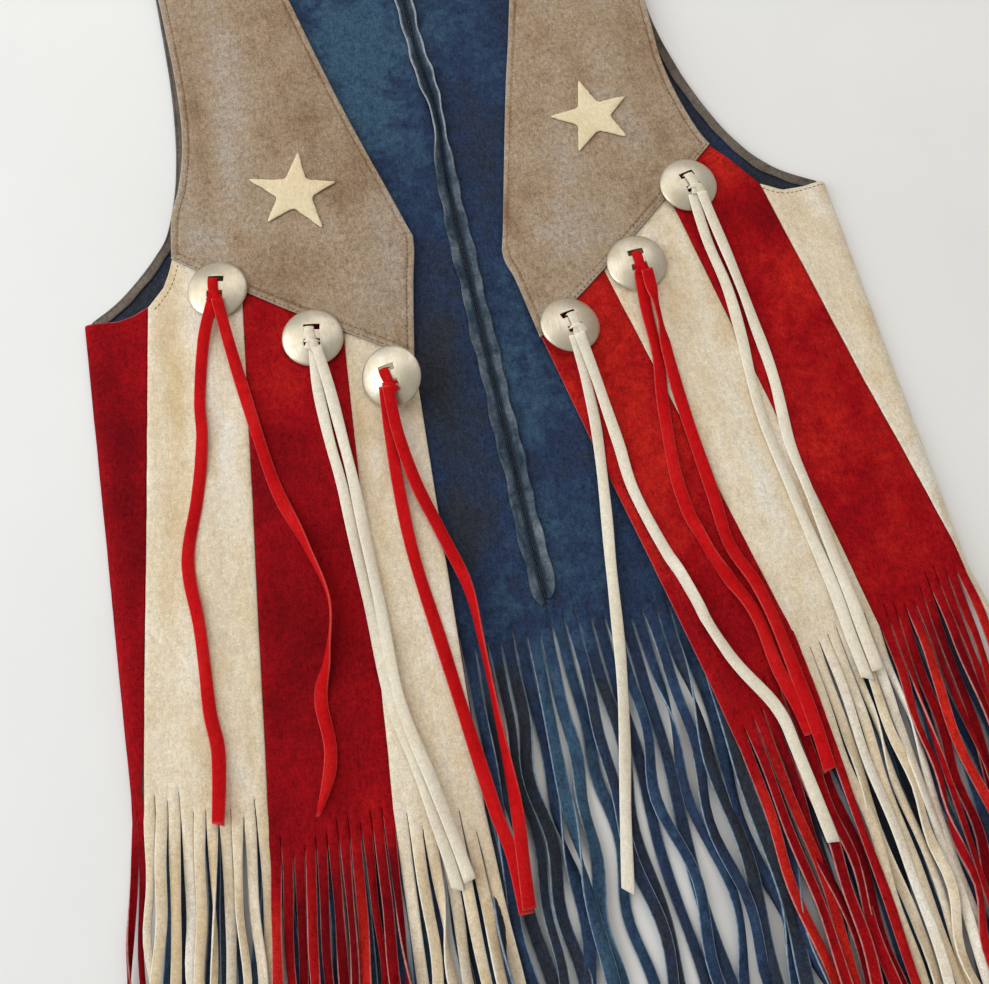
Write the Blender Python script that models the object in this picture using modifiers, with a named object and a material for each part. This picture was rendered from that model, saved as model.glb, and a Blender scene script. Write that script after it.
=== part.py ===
"""Fringed suede vest, laid flat on its back with its fronts parted.

Sizes are in millimetres, and to_frame writes them to the meshes in metres. The frame has +X to the viewer's
right across the vest, +Y to its neck and +Z up from the surface that it lies on. The plan is drawn from the
centre-back seam at chest height: "out" runs from the seam to either side, and "up" runs to the neck.
"""

import math
import random
from collections import namedtuple

import bmesh
import bpy
from mathutils import Matrix, Vector

NAME = "fringed_suede_vest"
MM = 0.001

# Driving dimensions of the vest
CHEST_Y = 174.4          # chest height above the frame's origin
HALF_CHEST = 244.0       # seam to side, laid flat
SUEDE = 1.4              # thickness of the suede
SEAM_GAP = 0.3           # gap between pieces at a seam
LAP = 7.0                # how far the stripes run up under a yoke
LAP_GAP = 0.6            # gap between a yoke and the stripes under it
DIAGONAL_BOW = -3.5      # sag of a yoke's lower edge
SHOULDER_TIP = (172.0, 252.0)
NECK_POINT = (93.0, 278.0)
BACK_NECK_UP = 255.0     # bottom of the back neck's curve
BACK_SIDE = 241.4        # the back ends inside the rolled sides of the fronts
FACING_WIDTH = 7.0
ALLOWANCE_WIDTH = 7.0
TRIM = 1.1               # thickness of facings, seam allowances and stars

# How the fronts lie over the back
ROLL = 10.0              # radius of the fold at each side
ROLL_EDGE = 1.3          # height of the fold's lower edge over the floor
CROWN = 2.4              # rise of a front between its edges
EDGE_DROOP = 1.6
EDGE_REACH = 12.0

# Fringe
STRIP = 5.0              # depth of the uncut strip that carries the strands
CUT = 0.7                # gap between two strands at their roots
NARROW_STRAND = 4.0
FRONT_STRAND = 280.0
BACK_STRAND = 330.0
BACK_STRANDS = 30
BACK_FRINGE_OUT = 226.0
BACK_FLOW_CENTRE = 0.8    # direction of the strands, in degrees from straight down
BACK_FLOW_SIDE = 5.0
BACK_SWAY = 5.5
FRONT_SWAY = 4.0
LEVEL_STEP = 1.9         # height between strands that may cross
LEVEL_ORDER = (0, 2, 1)
BACK_LEVEL = 0.5         # underside of the lowest back strands
FRONT_LEVEL = 6.5        # underside of the lowest front strands
FRINGE_DEPTH = 2 * LEVEL_STEP + SUEDE + 0.4
STRAND_STATIONS = (30.0, 80.0, 170.0)

# Conchos, laces and stars
CONCHO_RADIUS = 19.0
CONCHO_RISE = 5.2
CONCHO_SHEET = 1.2
CONCHO_SIDES = 16
SLOT_LENGTH = 10.0
SLOT_WIDTH = 4.0
SLOT_OFFSET = 5.0        # slot's centre from the concho's centre
LACE_WIDTH = 6.2
LACE = 1.4
LACE_STEPS = 18
LACE_SAG = 0.01          # how far a lace's points hang below a straight line at each step
STAR_RADIUS = 29.0
STAR_WAIST = 0.40        # inner radius over outer radius

EdgePoint = namedtuple("EdgePoint", "out up")
Level = namedtuple("Level", "up height")
Stripe = namedtuple("Stripe", "colour top_outer top_inner hem_outer hem_outer_up hem_inner hem_inner_up "
                              "strands flow_outer flow_inner")
Fold = namedtuple("Fold", "start_out start_up end_out end_up reach rise")
Concho = namedtuple("Concho", "out up turn lean_x lean_y lace tail_a tail_b")
Star = namedtuple("Star", "out up lean reaches")
Front = namedtuple("Front", "name side armhole underarm yoke_edge back_armhole stripes folds conchos star")
Seat = namedtuple("Seat", "x y height slope_x slope_y")
Strand = namedtuple("Strand", "root half angle length sway wave phase level width")

# Height of the stripes' outer face over the floor, by height on the vest
FRONT_LEVELS = (
    Level(-900.0, 8.4),
    Level(-245.0, 8.4),
    Level(-150.0, 6.0),
    Level(30.0, 5.4),
    Level(150.0, 4.4),
    Level(300.0, 1.7),
)

# Hem of the back, from the centre seam to the side
BACK_HEM = {"left": (-252.0, -266.0), "right": (-249.0, -270.0)}

# Edges, folds and lace routes of each front: out, up
LEFT_FRONT = Front(
    name="left",
    side=-1,
    armhole=(EdgePoint(183.2, 20.8), EdgePoint(179.4, 51), EdgePoint(172, 74), EdgePoint(166, 109),
             EdgePoint(165, 160), EdgePoint(169, 232), EdgePoint(*SHOULDER_TIP)),
    underarm=(EdgePoint(183.2, 20.8), EdgePoint(186, 12), EdgePoint(191, 2), EdgePoint(201, -9),
              EdgePoint(211, -13.5), EdgePoint(222, -15), EdgePoint(244, -12)),
    yoke_edge=(EdgePoint(45, -79), EdgePoint(36, -29), EdgePoint(30, 2), EdgePoint(33, 19),
               EdgePoint(54, 100), EdgePoint(67, 156), EdgePoint(79, 212), EdgePoint(*NECK_POINT)),
    back_armhole=(EdgePoint(240, -11), EdgePoint(224, -1), EdgePoint(209, 12), EdgePoint(195, 28),
                  EdgePoint(185, 45), EdgePoint(175, 85), EdgePoint(170, 150), EdgePoint(*SHOULDER_TIP)),
    stripes=(
        Stripe("red", 244.0, 202.0, 244.0, -301, 236.0, -301, 2, 8.0, 5.0),
        Stripe("cream", 202.0, 142.0, 236.0, -302, 172.0, -319, 10, 6.0, 4.0),
        Stripe("red", 142.0, 84.5, 172.0, -340, 106.0, -335, 11, 7.0, 2.5),
        Stripe("cream", 84.5, 45.0, 106.0, -338, 58.0, -349, 7, 3.0, -2.0),
    ),
    folds=(
        Fold(146, 190, 152, 30, 16, -1.1),
        Fold(100, 130, 66, -20, 22, 1.3),
        Fold(172, -50, 205, -290, 13, 1.3),
        Fold(96, -120, 104, -320, 10, -0.9),
    ),
    conchos=(
        Concho(156.9, -8.7, -12, 0.0, 0.0, "red",
               ((160, -18), (169, -41), (177, -80), (179, -107), (186, -143),
                (196, -181), (194, -220), (194, -265), (192, -290), (197, -326)),
               ((157, -18), (154, -51), (147, -107), (140, -148), (129, -185),
                (121, -220), (127, -250), (134, -272), (133, -302), (142, -333))),
        Concho(103.8, -54.4, -8, 0.0, 0.0, "cream",
               ((104, -64), (106, -89), (105, -123), (102, -157), (99, -222),
                (97, -281), (88, -324), (82, -364), (80, -384)),
               ((102, -64), (99, -91), (97, -124), (95, -158), (93, -222),
                (92, -281), (82, -330), (76, -362), (73, -381))),
        Concho(61.0, -93.2, 2, 0.42, 0.25, "red",
               ((66, -101), (68.4, -126), (70, -164), (69, -205), (63, -258),
                (58, -305), (53, -350), (49, -374), (48, -403)),
               ((64, -101), (64, -128), (59.5, -160), (51, -192), (43, -226),
                (42, -260), (42, -310), (42, -352), (44, -378), (46, -401))),
    ),
    star=Star(98.7, 51.0, -12.4, (1.08, 1.16, 0.97, 1.18, 0.97)),
)
RIGHT_FRONT = Front(
    name="right",
    side=1,
    armhole=(EdgePoint(175.4, 31.4), EdgePoint(170.4, 45), EdgePoint(165, 71), EdgePoint(162, 103),
             EdgePoint(164, 150), EdgePoint(168, 215), EdgePoint(*SHOULDER_TIP)),
    underarm=(EdgePoint(175.4, 31.4), EdgePoint(184, 20.5), EdgePoint(191, 10), EdgePoint(200, -4),
              EdgePoint(213, -11.5), EdgePoint(228, -11.5), EdgePoint(244, -8.8)),
    yoke_edge=(EdgePoint(34, -82), EdgePoint(28, -40), EdgePoint(24, -20), EdgePoint(29, 3),
               EdgePoint(52, 100), EdgePoint(65, 150), EdgePoint(78, 204), EdgePoint(*NECK_POINT)),
    back_armhole=(EdgePoint(240.5, -8), EdgePoint(226, 1), EdgePoint(212, 12), EdgePoint(199, 29),
                  EdgePoint(186, 58), EdgePoint(174, 100), EdgePoint(167, 155), EdgePoint(*SHOULDER_TIP)),
    stripes=(
        Stripe("cream", 244.0, 200.0, 244.0, -266, 239.0, -266, 2, 8.0, 5.0),
        Stripe("red", 200.0, 138.0, 239.0, -267, 180.0, -291, 10, 1.0, -1.0),
        Stripe("cream", 138.0, 83.0, 179.5, -288, 132.0, -292, 8, 0.5, 2.5),
        Stripe("red", 83.0, 34.0, 132.0, -295, 83.0, -334, 8, 2.5, 4.5),
    ),
    folds=(
        Fold(120, 160, 130, 20, 20, 1.2),
        Fold(112, -90, 150, -270, 14, 1.3),
        Fold(160, -60, 196, -250, 12, -0.9),
        Fold(214, -30, 226, -150, 9, -0.8),
    ),
    conchos=(
        Concho(152.4, 2.5, 14, 0.0, 0.0, "cream",
               ((152, -8), (153, -40), (156, -74), (155, -110), (152, -160),
                (155, -213), (159, -265), (160, -300), (162, -326)),
               ((157, -8), (163, -61), (166, -110), (166, -143), (163, -181),
                (164, -214), (166, -265), (167, -300), (168, -323))),
        Concho(104.8, -46.1, 2, 0.0, 0.0, "red",
               ((104, -55), (102, -80), (101, -112), (95, -150), (91, -195),
                (97, -238), (112, -275), (115, -310), (120, -333), (122, -348)),
               ((108, -55), (108, -86), (107, -115), (107, -150), (109, -204),
                (110, -236), (118, -262), (122, -295), (125, -335), (126, -368))),
        Concho(53.2, -80.0, 15, -0.20, -0.09, "cream",
               ((53, -90), (54, -116), (53, -150), (47, -195), (40, -237),
                (33, -285), (25, -325), (15, -365), (6, -404)),
               ((56, -90), (60, -122), (63, -160), (65, -195), (78, -249),
                (91, -296), (108, -330), (112, -355), (117, -403))),
    ),
    star=Star(104.3, 67.6, 4.2, (1.08, 1.00, 1.03, 0.98, 0.96)),
)
FRONTS = (LEFT_FRONT, RIGHT_FRONT)

# Principled colour, roughness and metallic value of each material
MATERIALS = {
    "navy": ((0.024, 0.034, 0.062, 1.0), 0.92, 0.0),
    "red": ((0.330, 0.010, 0.012, 1.0), 0.92, 0.0),
    "cream": ((0.740, 0.630, 0.460, 1.0), 0.92, 0.0),
    "taupe": ((0.350, 0.245, 0.165, 1.0), 0.92, 0.0),
    "nickel": ((0.680, 0.640, 0.560, 1.0), 0.32, 1.0),
}


def clear_scene():
    """Remove every object that the file opens with."""
    for item in list(bpy.data.objects):
        bpy.data.objects.remove(item, do_unlink=True)


def new_collection(name):
    """A collection linked to the scene."""
    collection = bpy.data.collections.new(name)
    bpy.context.scene.collection.children.link(collection)
    return collection


def make_materials():
    """One Principled material for each suede colour and for the nickel."""
    made = {}
    for name, (colour, roughness, metallic) in MATERIALS.items():
        material = bpy.data.materials.new(name)
        material.use_nodes = True
        shader = material.node_tree.nodes["Principled BSDF"]
        shader.inputs["Base Color"].default_value = colour
        shader.inputs["Roughness"].default_value = roughness
        shader.inputs["Metallic"].default_value = metallic
        made[name] = material
    return made


def to_frame(point):
    """A plan point with its height, in the frame's metres."""
    x, y, z = point
    return Vector((x * MM, (y + CHEST_Y) * MM, z * MM))


def mix(start, end, share):
    """Straight mix of two numbers."""
    return start + (end - start) * share


def ease(start, end, value):
    """Smooth step from 0 at start to 1 at end."""
    share = min(max((value - start) / (end - start), 0.0), 1.0)
    return share * share * (3.0 - 2.0 * share)


def row_value(rows, at):
    """Second column of a table at a value of its rising first column, eased between rows."""
    for low, high in zip(rows, rows[1:]):
        if at <= high[0]:
            return mix(low[1], high[1], ease(low[0], high[0], at))
    return rows[-1][1]


def curve_point(rows, share):
    """Point at a share of the length of a smooth curve through the rows."""
    lengths = [math.dist(a[:2], b[:2]) for a, b in zip(rows, rows[1:])]
    place = share * sum(lengths)
    index = 0
    while index < len(lengths) - 1 and place > lengths[index]:
        place -= lengths[index]
        index += 1
    t = min(place / lengths[index], 1.0)
    before = rows[max(index - 1, 0)]
    after = rows[min(index + 2, len(rows) - 1)]
    low = rows[index]
    high = rows[index + 1]
    return tuple(0.5 * (2 * b + (c - a) * t + (2 * a - 5 * b + 4 * c - d) * t * t
                        + (3 * b - a - 3 * c + d) * t ** 3)
                 for a, b, c, d in zip(before, low, high, after))


def shares(count):
    """Even fractions from 0 to 1 for a number of segments."""
    return [index / count for index in range(count + 1)]


# The height of the fronts over the plan

def front_edge_out(front, up):
    """How far out the free front edge lies at a height on the vest."""
    if up >= front.yoke_edge[0].up:
        for low, high in zip(front.yoke_edge, front.yoke_edge[1:]):
            if up <= high.up:
                return mix(low.out, high.out, (up - low.up) / (high.up - low.up))
        return front.yoke_edge[-1].out
    last = front.stripes[-1]
    top_up = front.yoke_edge[0].up
    return mix(last.top_inner, last.hem_inner, (top_up - up) / (top_up - last.hem_inner_up))


def fold_rise(fold, out, up):
    """Rise of one soft fold at a plan point."""
    run_out = fold.end_out - fold.start_out
    run_up = fold.end_up - fold.start_up
    along = ((out - fold.start_out) * run_out + (up - fold.start_up) * run_up) / (run_out ** 2 + run_up ** 2)
    along = min(max(along, 0.0), 1.0)
    away = math.hypot(out - fold.start_out - along * run_out, up - fold.start_up - along * run_up)
    return fold.rise * math.exp(-(away / fold.reach) ** 2)


def front_height(front, out, up):
    """Outer face of the stripes over the floor."""
    inner = front_edge_out(front, up)
    share = min(max((out - inner) / (HALF_CHEST - inner), 0.0), 1.0)
    over_back = ease(-260.0, -180.0, up)
    height = row_value(FRONT_LEVELS, up)
    height += CROWN * 4.0 * share * (1.0 - share) * mix(0.4, 1.0, over_back)
    height += sum(fold_rise(fold, out, up) for fold in front.folds)
    height -= EDGE_DROOP * math.exp(-max(out - inner, 0.0) / EDGE_REACH) * over_back * ease(300.0, 150.0, up)
    inset = max(HALF_CHEST - out, 0.0)
    if inset < ROLL:
        height = mix(ROLL_EDGE, height, math.sqrt(1.0 - (1.0 - inset / ROLL) ** 2))
    return height


def yoke_height(front, out, up):
    """Outer face of a yoke, which lies on the stripes."""
    return front_height(front, out, up) + SUEDE + LAP_GAP


def diagonal_up(front, out):
    """Lower edge of a yoke."""
    outer = front.underarm[0]
    inner = front.yoke_edge[0]
    share = (out - inner.out) / (outer.out - inner.out)
    return mix(inner.up, outer.up, share) + DIAGONAL_BOW * math.sin(math.pi * share)


def stripe_top_up(front, out):
    """Upper edge of the stripes: the underarm, then under the yoke."""
    corner = front.underarm[0]
    if out >= corner.out:
        for low, high in zip(front.underarm, front.underarm[1:]):
            if out <= high.out:
                return mix(low.up, high.up, (out - low.out) / (high.out - low.out))
        return front.underarm[-1].up
    return diagonal_up(front, out) + LAP * ease(0.0, 7.0, corner.out - out)


# Sheets and their solids

def face_up(mesh):
    """Turn every face of an open sheet to its upper side."""
    bmesh.ops.recalc_face_normals(mesh, faces=mesh.faces)
    if sum(face.normal.z * face.calc_area() for face in mesh.faces) < 0.0:
        bmesh.ops.reverse_faces(mesh, faces=mesh.faces)


def solid(name, mesh, thickness, material, collection):
    """An object of an open sheet, thickened downwards."""
    face_up(mesh)
    data = bpy.data.meshes.new(name)
    mesh.to_mesh(data)
    mesh.free()
    data.materials.append(material)
    item = bpy.data.objects.new(name, data)
    collection.objects.link(item)
    wall = item.modifiers.new("wall", "SOLIDIFY")
    wall.thickness = thickness * MM
    wall.offset = -1.0
    return item


def grid(across, along, place):
    """An open grid with its points placed by two fractions, and its vertices by column and row."""
    mesh = bmesh.new()
    columns = len(across) - 1
    rows = len(along) - 1
    bmesh.ops.create_grid(mesh, x_segments=columns, y_segments=rows, size=0.5)
    vertices = {}
    for vertex in mesh.verts:
        column = round((vertex.co.x + 0.5) * columns)
        row = round((vertex.co.y + 0.5) * rows)
        vertex.co = to_frame(place(across[column], along[row]))
        vertices[column, row] = vertex
    return mesh, vertices


def sheet(name, across, along, place, thickness, material, collection):
    """One cut piece as a thickened grid."""
    mesh, _ = grid(across, along, place)
    return solid(name, mesh, thickness, material, collection)


# The back

def back_half(front, materials, collection):
    """One half of the back, flat on the floor, from its hem to its shoulder and neck."""
    hem_centre, hem_side = BACK_HEM[front.name]
    centre = SEAM_GAP / 2
    rows = [((BACK_SIDE, mix(hem_side, front.back_armhole[0].up, share)),
             (centre, mix(hem_centre, front.back_armhole[0].up, share))) for share in (0.0, 0.33, 0.67, 0.95)]
    for share in shares(10):
        out, up = curve_point(front.back_armhole, share)
        rows.append(((out, up), (centre, min(up, BACK_NECK_UP - 4.0))))
    for share in (0.3, 0.6, 0.9):
        neck_out = NECK_POINT[0] * share
        neck_up = mix(BACK_NECK_UP, NECK_POINT[1], share ** 2)
        rows.append(((mix(SHOULDER_TIP[0], NECK_POINT[0], share), mix(SHOULDER_TIP[1], NECK_POINT[1], share)),
                     (neck_out, neck_up)))

    def place(across, along):
        outer, inner = rows[round(along * (len(rows) - 1))]
        return front.side * mix(inner[0], outer[0], across), mix(inner[1], outer[1], across), SUEDE

    along = shares(len(rows) - 1)
    return sheet("back_" + front.name, shares(4), along, place, SUEDE, materials["navy"], collection)


def seam_allowance(front, materials, collection):
    """The turned-open seam allowance on the inside of one half of the back."""
    def place(across, along):
        out = mix(2 * SEAM_GAP, ALLOWANCE_WIDTH + 2 * SEAM_GAP, across)
        up = mix(BACK_HEM[front.name][0] + 6.0, BACK_NECK_UP - 6.0, along)
        return front.side * out, up, SUEDE + SEAM_GAP + TRIM

    return sheet("back_seam_" + front.name, shares(1), shares(6), place, TRIM, materials["navy"], collection)


def armhole_facing(front, materials, collection):
    """The taupe band inside the back's armhole."""
    def place(across, along):
        share = mix(0.012, 0.96, along)
        edge = Vector(curve_point(front.back_armhole, share))
        run = (Vector(curve_point(front.back_armhole, share + 0.01)) - edge).normalized()
        inside = edge + Vector((-run.y, run.x)) * mix(0.6, FACING_WIDTH, across)
        return front.side * inside.x, inside.y, SUEDE + SEAM_GAP + TRIM

    name = "armhole_facing_" + front.name
    return sheet(name, shares(1), shares(14), place, TRIM, materials["taupe"], collection)


# The fronts

def yoke(front, materials, collection):
    """The upper front, from its diagonal lower edge to the shoulder."""
    def place(across, along):
        inner = curve_point(front.yoke_edge, along)
        outer = curve_point(front.armhole, along)
        out = mix(inner[0], outer[0], across)
        up = mix(inner[1], outer[1], across) + DIAGONAL_BOW * math.sin(math.pi * across) * (1.0 - along) ** 4
        return front.side * out, up, yoke_height(front, out, up)

    return sheet("yoke_" + front.name, shares(7), shares(14), place, SUEDE, materials["taupe"], collection)


def stripe_columns(front, stripe):
    """Fractions across a stripe, closer at the rolled side and at the underarm's corner."""
    corner = front.underarm[0].out
    if stripe.top_outer == HALF_CHEST:
        outs = [stripe.top_inner, 213.0, 224.0, 232.0, 236.5, 239.5, 241.8, 243.2, 243.8, HALF_CHEST]
    elif stripe.top_inner < corner < stripe.top_outer:
        outs = [stripe.top_inner, mix(stripe.top_inner, corner, 0.4)]
        outs += [corner - 16.0, corner - 7.0, corner - 3.5]
        outs += [point.out for point in front.underarm if corner <= point.out < stripe.top_outer - 1.0]
        outs.append(stripe.top_outer)
    else:
        outs = [mix(stripe.top_inner, stripe.top_outer, share) for share in shares(4)]
    return [(out - stripe.top_inner) / (stripe.top_outer - stripe.top_inner) for out in outs]


def stripe_panel(front, number, stripe, materials, collection):
    """One suede length of a front, from under the yoke to its hem."""
    seams = 2.0 if stripe.top_outer < HALF_CHEST else 1.0

    def place(across, along):
        inset = SEAM_GAP / 2 * (1.0 - seams * across)
        top_out = mix(stripe.top_inner, stripe.top_outer, across)
        top_up = stripe_top_up(front, top_out)
        hem_out = mix(stripe.hem_inner, stripe.hem_outer, across)
        hem_up = mix(stripe.hem_inner_up, stripe.hem_outer_up, across)
        out = mix(hem_out, top_out, along) + inset
        up = mix(hem_up, top_up, along)
        return front.side * out, up, front_height(front, out, up)

    rows = (0.0, 0.12, 0.26, 0.42, 0.6, 0.78, 0.9, 1.0)
    name = f"stripe_{front.name}_{number}"
    columns = stripe_columns(front, stripe)
    return sheet(name, columns, rows, place, SUEDE, materials[stripe.colour], collection)


# The fringes

def strand_at(strand, distance):
    """Left and right edge of a strand's upper side, at a distance along it."""
    loose = ease(40.0, 110.0, distance)
    settled = ease(0.0, 30.0, distance)
    side_step = strand.sway * loose * math.sin(math.tau * distance / strand.wave + strand.phase)
    run = Vector((math.sin(strand.angle), -math.cos(strand.angle)))
    across = Vector((math.cos(strand.angle), math.sin(strand.angle)))
    flat = strand.root.xy + run * distance + across * side_step
    centre = Vector((flat.x, flat.y, mix(strand.root.z, strand.level, settled)))
    half = strand.half.lerp(Vector((across.x, across.y, 0.0)) * strand.width / 2, settled)
    return centre - half, centre + half


def fringe(name, hem, height, strands, flows, length, base, sway, turn, material, collection):
    """A narrow strip under a hem with the strands cut from it, which stand apart and lie on three levels.

    hem gives a plan point on the hem from its left (0) to its right end (1), height the strip's upper side
    at a plan point, and flows the direction of the first and the last strand, in degrees from straight down.
    """
    root_width = math.dist(hem(0.0), hem(1.0))
    cut = CUT / root_width
    across = []
    for index in range(strands):
        across += [index / strands + cut / 2, (index + 1) / strands - cut / 2]

    def place(share, along):
        x, y = hem(share)
        y -= SEAM_GAP + STRIP * (1.0 - along)
        return x, y, height(x, y)

    mesh, vertices = grid(across, shares(1), place)
    for index in range(strands):
        dice = random.Random(f"{name} {index}")
        pair = [vertices[2 * index, 0], vertices[2 * index + 1, 0]]
        ends = [Vector(place(across[2 * index + end], 0.0)) for end in (0, 1)]
        strand = Strand(
            root=(ends[0] + ends[1]) / 2,
            half=(ends[1] - ends[0]) / 2,
            angle=math.radians(mix(flows[0], flows[1], (index + 0.5) / strands) + dice.uniform(-0.6, 0.6)),
            length=length + dice.uniform(-14.0, 0.0),
            sway=sway * dice.uniform(0.35, 1.0),
            wave=dice.uniform(130.0, 230.0),
            phase=dice.uniform(0.0, math.tau),
            level=base + SUEDE + LEVEL_STEP * LEVEL_ORDER[(index + turn) % len(LEVEL_ORDER)],
            width=max(abs((ends[1] - ends[0]).x), NARROW_STRAND),
        )
        edge = mesh.edges.get(pair)
        for distance in STRAND_STATIONS + (strand.length,):
            grown = bmesh.ops.extrude_edge_only(mesh, edges=[edge])["geom"]
            new_pair = sorted((part for part in grown if isinstance(part, bmesh.types.BMVert)),
                              key=lambda vertex: (vertex.co - pair[0].co).length)
            for vertex, point in zip(new_pair, strand_at(strand, distance)):
                vertex.co = to_frame(point)
            pair = new_pair
            edge = mesh.edges.get(pair)
    return solid(name, mesh, SUEDE, material, collection)


def front_fringe(front, number, stripe, materials, collection):
    """The fringe under one stripe."""
    at_side = stripe.top_outer == HALF_CHEST
    seam = 0.0 if at_side else SEAM_GAP / 2
    ends = [(stripe.hem_inner + SEAM_GAP / 2, stripe.hem_inner_up)]
    ends.append((stripe.hem_outer - seam, stripe.hem_outer_up))
    flows = [front.side * stripe.flow_inner, front.side * stripe.flow_outer]
    if front.side < 0:
        ends.reverse()
        flows.reverse()

    def hem(share):
        return front.side * mix(ends[0][0], ends[1][0], share), mix(ends[0][1], ends[1][1], share)

    def height(x, y):
        return front_height(front, front.side * x, y)

    base = BACK_LEVEL if at_side else FRONT_LEVEL
    lefter = front.stripes[1:number - 1] if front.side < 0 else front.stripes[number:]
    turn = sum(other.strands for other in lefter)
    return fringe(f"fringe_{front.name}_{number}", hem, height, stripe.strands, flows, FRONT_STRAND, base,
                  FRONT_SWAY, turn, materials[stripe.colour], collection)


def back_fringe(front, materials, collection):
    """The fringe under one half of the back."""
    hem_centre, hem_side = BACK_HEM[front.name]
    ends = [(SEAM_GAP, hem_centre), (BACK_FRINGE_OUT, mix(hem_centre, hem_side, BACK_FRINGE_OUT / BACK_SIDE))]
    flows = [front.side * BACK_FLOW_CENTRE, front.side * BACK_FLOW_SIDE]
    if front.side < 0:
        ends.reverse()
        flows.reverse()

    def hem(share):
        return front.side * mix(ends[0][0], ends[1][0], share), mix(ends[0][1], ends[1][1], share)

    def height(x, y):
        return SUEDE

    return fringe("fringe_back_" + front.name, hem, height, BACK_STRANDS, flows, BACK_STRAND, BACK_LEVEL,
                  BACK_SWAY, 0, materials["navy"], collection)


# Stars, conchos and laces

def star(front, materials, collection):
    """A five-point star that lies on its yoke."""
    mesh = bmesh.new()
    centre = mesh.verts.new((0.0, 0.0, 0.0))
    rings = []
    for scale in (0.5, 1.0):
        ring = []
        for index in range(10):
            angle = math.radians(90.0 + front.star.lean + 36.0 * index)
            radius = STAR_RADIUS * scale * (STAR_WAIST if index % 2 else front.star.reaches[index // 2])
            ring.append(mesh.verts.new((radius * math.cos(angle), radius * math.sin(angle), 0.0)))
        rings.append(ring)
    for index in range(10):
        after = (index + 1) % 10
        mesh.faces.new((centre, rings[0][index], rings[0][after]))
        mesh.faces.new((rings[0][index], rings[1][index], rings[1][after], rings[0][after]))
    for vertex in mesh.verts:
        x = vertex.co.x + front.side * front.star.out
        y = vertex.co.y + front.star.up
        vertex.co = to_frame((x, y, yoke_height(front, front.side * x, y) + SEAM_GAP + TRIM + 0.15))
    return solid("star_" + front.name, mesh, TRIM, materials["cream"], collection)


def dome(radius):
    """Outer face of a concho over its rim's plane."""
    ball = (CONCHO_RADIUS ** 2 + CONCHO_RISE ** 2) / (2.0 * CONCHO_RISE)
    return math.sqrt(max(ball ** 2 - radius ** 2, 0.0)) - (ball - CONCHO_RISE) + CONCHO_SHEET


def surface_under(front, x, y):
    """The yoke or the stripes, whichever is uppermost at a plan point."""
    out = front.side * x
    if y > diagonal_up(front, out):
        return yoke_height(front, out, y)
    return front_height(front, out, y)


def concho_seat(front, concho):
    """The plane that a concho's rim lies in, just over the highest suede under it."""
    x = front.side * concho.out
    y = concho.up
    reach = CONCHO_RADIUS
    slope_x = (surface_under(front, x + reach, y) - surface_under(front, x - reach, y)) / (2 * reach)
    slope_x += concho.lean_x
    slope_y = (surface_under(front, x, y + reach) - surface_under(front, x, y - reach)) / (2 * reach)
    slope_y += concho.lean_y
    height = 0.0
    for ring in (0.35, 0.7, 1.0):
        for index in range(24):
            step_x = reach * ring * math.cos(math.tau * index / 24)
            step_y = reach * ring * math.sin(math.tau * index / 24)
            plane = slope_x * step_x + slope_y * step_y
            room = max(dome(reach * ring) - 2 * CONCHO_SHEET, 0.0) if ring < 1.0 else 0.0
            height = max(height, surface_under(front, x + step_x, y + step_y) - plane - room)
    return Seat(x, y, height + SEAM_GAP, slope_x, slope_y)


def seat_matrix(seat, turn):
    """Where a concho lies: its seat's plane, turned about its own axis."""
    normal = Vector((-seat.slope_x, -seat.slope_y, 1.0)).normalized()
    tilt = Vector((0.0, 0.0, 1.0)).rotation_difference(normal).to_matrix().to_4x4()
    spin = Matrix.Rotation(math.radians(turn), 4, "Z")
    return Matrix.Translation(to_frame((seat.x, seat.y, seat.height))) @ tilt @ spin


def concho_profile():
    """Half section of a concho's domed sheet, from its crown over the rim to the underside."""
    mesh = bmesh.new()
    outer = [(radius, dome(radius)) for radius in (0.0, 7.0, 12.5, 16.5)]
    rim = [(CONCHO_RADIUS, CONCHO_SHEET), (CONCHO_RADIUS, 0.0), (CONCHO_RADIUS - 2.0, 0.0)]
    inner = [(radius, dome(radius) - CONCHO_SHEET) for radius in (12.5, 7.0, 0.0)]
    chain = [mesh.verts.new((radius * MM, 0.0, height * MM)) for radius, height in outer + rim + inner]
    for low, high in zip(chain, chain[1:]):
        mesh.edges.new((low, high))
    data = bpy.data.meshes.new("concho_profile")
    mesh.to_mesh(data)
    mesh.free()
    return data


def slot_cutter():
    """Two boxes that cut a concho's slots."""
    mesh = bmesh.new()
    for offset in (-SLOT_OFFSET, SLOT_OFFSET):
        size = Matrix.Diagonal((SLOT_LENGTH * MM, SLOT_WIDTH * MM, 8.0 * CONCHO_RISE * MM, 1.0))
        bmesh.ops.create_cube(mesh, size=1.0, matrix=Matrix.Translation((0.0, offset * MM, 0.0)) @ size)
    data = bpy.data.meshes.new("slot_cutter")
    mesh.to_mesh(data)
    mesh.free()
    return data


def add_concho(name, seat, concho, profile, slots, materials, collection, cutters):
    """One domed nickel concho with its two slots."""
    item = bpy.data.objects.new(name, profile)
    item.matrix_world = seat_matrix(seat, concho.turn)
    collection.objects.link(item)
    item.data.materials.clear()
    item.data.materials.append(materials["nickel"])
    turned = item.modifiers.new("turned", "SCREW")
    turned.steps = CONCHO_SIDES
    turned.render_steps = CONCHO_SIDES
    turned.use_merge_vertices = True
    turned.merge_threshold = 0.00001
    cutter = bpy.data.objects.new(name + "_slots", slots)
    cutter.matrix_world = item.matrix_world
    cutter.hide_render = True
    cutter.display_type = "WIRE"
    cutters.objects.link(cutter)
    cut = item.modifiers.new("slots", "BOOLEAN")
    cut.operation = "DIFFERENCE"
    cut.solver = "EXACT"
    cut.object = cutter
    return item


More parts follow.
